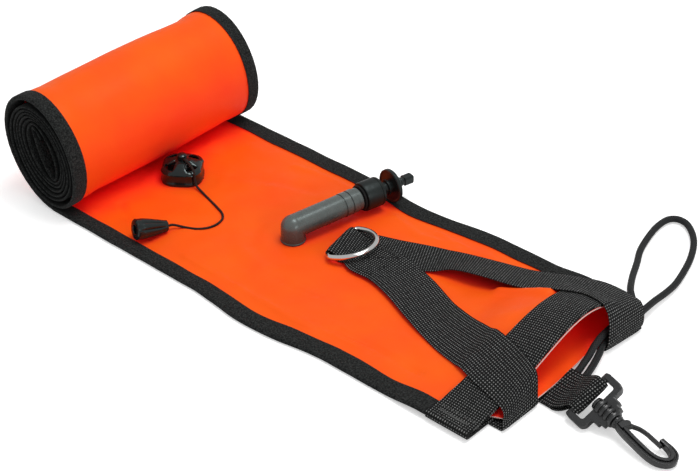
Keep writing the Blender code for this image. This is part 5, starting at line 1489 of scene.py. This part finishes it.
def make_dump_spring():
    spring = coil("valve_spring", 0.0040, DUMP_SPRING_LOW, DUMP_SPRING_HIGH, 2.5, DUMP_SPRING_WIRE_RADIUS,
                  dump_place, "dump_spring")
    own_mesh(spring)


# D-ring
def make_d_ring():
    bar = fold_half + CLEAR
    half = bar + RING_CORNER
    outline = arc((RING_CORNER, -bar), RING_CORNER, 180, 270, 8)
    outline += arc((RING_CORNER, 0.0), half, -90, 90, 40)[1:-1]
    outline += arc((RING_CORNER, bar), RING_CORNER, 90, 180, 8)
    outline += [(0.0, y) for y in spread(bar, -bar, 14)[1:-1]]
    sloped = (ring_out + Vector((0.0, 0.0, math.tan(RING_TILT)))) * RING_STRETCH
    points = [ring_centre + sloped * x + ring_bar * y for x, y in outline]
    tube("ring_fine", points, RING_WIRE_RADIUS, 20, "polished_steel", "d_ring", "d_ring", closed=True)


# Snap
# Middle line of the hook, from the collar round the bow to the nose, in the hook's own plane
HOOK_ROUTE = [
    (0.0222, -0.0006), (0.0262, -0.0016), (0.0320, -0.0021), (0.0385, -0.0023), (0.0450, -0.0022),
    (0.0497, -0.0010), (0.0529, 0.0018), (0.0538, 0.0052), (0.0518, 0.0083), (0.0483, 0.0095),
    (0.0448, 0.0096), (0.0414, 0.0095),
]
GATE_ROUTE = [(0.0272, 0.0045), (0.0302, 0.0062), (0.0345, 0.0071), (0.0392, 0.0072), (0.0442, 0.0072)]
GATE_PIVOT = (0.0250, 0.0024)
# The hook's section, as shares of its width and height: outer flange, groove, raised inner rib
HOOK_SECTION = [(-0.50, 0.30), (-0.44, 0.40), (-0.26, 0.40), (-0.20, 0.24), (-0.04, 0.24), (0.03, 0.50),
                (0.38, 0.50), (0.50, 0.38)]
HOOK_SECTION += [(across, -up) for across, up in reversed(HOOK_SECTION)]
# One rib of the hub: steps from its radius, and shares of the ribs' spacing
RIB_SHAPE = [(-0.0010, 0.22), (-0.0003, 0.30), (0.0, 0.42), (0.0, 0.78), (-0.0003, 0.92), (-0.0010, 1.0)]
slot_half = TAB_FOLD_WIDTH / 2 + SLOT_MARGIN
frame_half = slot_half + FRAME_SIDE
slot_end = BAR_RADIUS + SLOT_LENGTH
frame_end = slot_end + CROSS_BAR
hub_start = slot_end + CLEAR
hub_end = hub_start + HUB_LENGTH
snap_axis = Matrix.Rotation(math.radians(90.0), 4, "Y")
gate_place = snap_turn @ Matrix.Translation((*GATE_PIVOT, 0.0))


def make_snap_frame():
    """Webbing slot with its bar, stepped shoulders and the ribbed hub."""
    half = FRAME_THICKNESS / 2
    wing = SHOULDER_WIDTH / 2
    upper = [(-0.0002, frame_half)]
    upper += arc((frame_end - FRAME_SIDE, frame_half - FRAME_SIDE), FRAME_SIDE, 90, 0, 8)
    upper += shifted([(0.0, 0.0), (0.0042, 0.0), (0.0042, -0.0016), (SHOULDER_LENGTH, -0.0016)],
                     frame_end, wing)
    slot = [(-0.0002, slot_half), (slot_end - 0.0009, slot_half), (slot_end, slot_half - 0.0009)]
    outline = upper + [(x, -y) for x, y in upper[::-1] + slot] + slot[::-1]
    plate = plate_parts(outline, -half, half, snap_place)
    assembled("frame_plate", [plate], "black_acetal", "snap_frame", "snap_frame", bevel=0.0006)
    bar_end = [(BAR_RADIUS, BAR_RADIUS * 0.3), (BAR_RADIUS * 0.7, 0.0), (0.0, 0.0)]
    reach = frame_half - CLEAR
    rounded = [(radius, height - reach) for radius, height in bar_end[::-1]]
    rounded += [(radius, reach - height) for radius, height in bar_end]
    rib = HUB_LENGTH / HUB_RIBS
    profile = [(0.0, hub_start), (HUB_RADIUS - 0.0010, hub_start)]
    for k in range(HUB_RIBS):
        profile += [(HUB_RADIUS + out, hub_start + rib * (k + share)) for out, share in RIB_SHAPE]
    bore = POST_RADIUS + CLEAR
    profile += [(bore, hub_end), (bore, hub_end - 0.003), (0.0, hub_end - 0.003)]
    parts = [turned_parts(profile, 40, snap_place @ snap_axis),
             turned_parts(rounded, 24, snap_place @ Matrix.Rotation(math.radians(-90.0), 4, "X"))]
    assembled("frame_hub", parts, "black_acetal", "snap_frame", sharp=40.0)


def make_snap_hook():
    """Post, collar, hook of ribbed section with its nose, and the two ears for the gate."""
    head = slot_end - CLEAR - POST_HEAD
    collar = hub_end + CLEAR
    collar_end = collar + HOOK_COLLAR
    profile = [(0.0, head), (POST_HEAD_RADIUS - CLEAR, head), (POST_HEAD_RADIUS, head + POST_HEAD / 2),
               (POST_HEAD_RADIUS, head + POST_HEAD), (POST_RADIUS, head + POST_HEAD), (POST_RADIUS, collar)]
    profile += shifted([(-0.0003, 0.0), (0.0, 0.0003), (0.0, 0.0011), (-0.0005, 0.0014)],
                       HOOK_COLLAR_RADIUS, collar)
    profile += shifted([(-0.0003, -0.0003), (-0.0010, 0.0)], HOOK_COLLAR_RADIUS, collar_end)
    profile.append((0.0, collar_end + 0.0012))
    parts = [turned_parts(profile, 40, snap_turn @ snap_axis)]
    centres = curve_through([Vector((*place, 0.0)) for place in HOOK_ROUTE], 5)
    rings = []
    for i, centre in enumerate(centres):
        side = way_at(centres, i).xy.orthogonal().to_3d()
        slim = smooth((i / (len(centres) - 1) - 0.7) / 0.25)
        width = HOOK_WIDTH + (NOSE_WIDTH - HOOK_WIDTH) * slim
        ring = []
        for across, up in HOOK_SECTION:
            tall = up + (math.copysign(0.46, up) - up) * slim * 0.7
            ring.append(centre + side * across * width + Vector((0.0, 0.0, tall * HOOK_HEIGHT)))
        rings.append(ring)
    parts.append(loft_parts(rings, snap_turn))
    foot = GATE_PIVOT[1] + HOOK_WIDTH / 2
    eye = GATE_EYE_RADIUS
    outline = arc((0.0, 0.0), eye, -30, 150, 14)
    outline += [(-1.5 * eye, -foot / 4), (-1.2 * eye, -foot), (0.7 * eye, -foot)]
    reach = GATE_HEIGHT / 2 + CLEAR
    for low in (reach, -reach - EAR_THICKNESS):
        parts.append(plate_parts(outline, low, low + EAR_THICKNESS, gate_place))
    assembled("hook_fine", parts, "black_acetal", "snap_hook", "snap_hook", sharp=40.0, bevel=0.00022)


def make_snap_gate():
    """Curved blade with its eye round the pin."""
    pivot = Vector((*GATE_PIVOT, 0.0))
    line = curve_through([Vector((*place, 0.0)) - pivot for place in GATE_ROUTE], 5)
    sides = [way_at(line, i).xy.orthogonal() * GATE_BLADE / 2 for i in range(len(line))]
    outline = arc((0.0, 0.0), GATE_EYE_RADIUS, 130, 330, 18)
    outline += [tuple(point.xy - side) for point, side in zip(line, sides)]
    outline += [tuple(point.xy + side) for point, side in zip(line, sides)][::-1]
    blade = plate_parts(outline, -GATE_HEIGHT / 2, GATE_HEIGHT / 2, gate_place)
    assembled("gate_fine", [blade], "black_acetal", "snap_gate", "snap_gate", sharp=40.0, bevel=0.00018)


make_elbow()
make_lock_ring()
make_plunger()
make_inflator_spring()
make_dump_cap()
make_dump_stem()
make_dump_spring()
make_d_ring()
make_snap_frame()
make_snap_hook()
make_snap_gate()

for part in frame["record"]["subparts"]:
    node = nodes[part["node"]]
    node.data.materials.clear()
    node.data.materials.append(SLOT_MATERIALS[part["material_slot"]])


# Ground and light
def make_area_light(name, place, aim, size, power):
    data = bpy.data.lights.new(name, "AREA")
    data.shape = "RECTANGLE"
    data.size, data.size_y = size
    data.energy = power
    light = bpy.data.objects.new(name, data)
    light.location = place
    light.rotation_euler = (Vector(aim) - Vector(place)).to_track_quat("-Z", "Y").to_euler()
    scene.collection.objects.link(light)


def make_world(strength):
    """Even light, from a backdrop that is white to the camera."""
    world = bpy.data.worlds.new("world")
    scene.world = world
    world.use_nodes = True
    made = Nodes(world.node_tree)
    rays = made.node("LightPath").outputs
    seen = made.math("MAXIMUM", rays["Is Camera Ray"], rays["Is Transmission Ray"])
    made.set(made.tree.nodes["Background"], Color=(1, 1, 1, 1), Strength=made.ramp(seen, 0.0, 1.0, strength))


def make_ground():
    """The white ground; to the camera it is a little lighter than its light alone makes it."""
    made = Shader("ground", (0.88, 0.88, 0.88), 0.9)
    camera_ray = made.node("LightPath").outputs["Is Camera Ray"]
    made.set(made.surface, Emission_Color=(1, 1, 1, 1),
             Emission_Strength=made.math("MULTIPLY", camera_ray, GROUND_GLOW))
    half = GROUND_SIZE / 2
    corners = [Vector((x * half, y * half, GROUND_Z)) for x, y in ((-1, -1), (1, -1), (1, 1), (-1, 1))]
    mesh_object("ground", corners, [(0, 1, 2, 3)], made.material)


make_world(WORLD_STRENGTH)
make_area_light("key", (0.20, 0.20, 1.3), (0.02, 0.02, 0), (0.6, 0.6), KEY_POWER)
make_area_light("mouth_fill", (1.3, -0.25, 0.55), (0.05, 0.0, 0.02), (0.6, 0.4), MOUTH_FILL_POWER)
make_ground()

scene.view_settings.view_transform = "Standard"
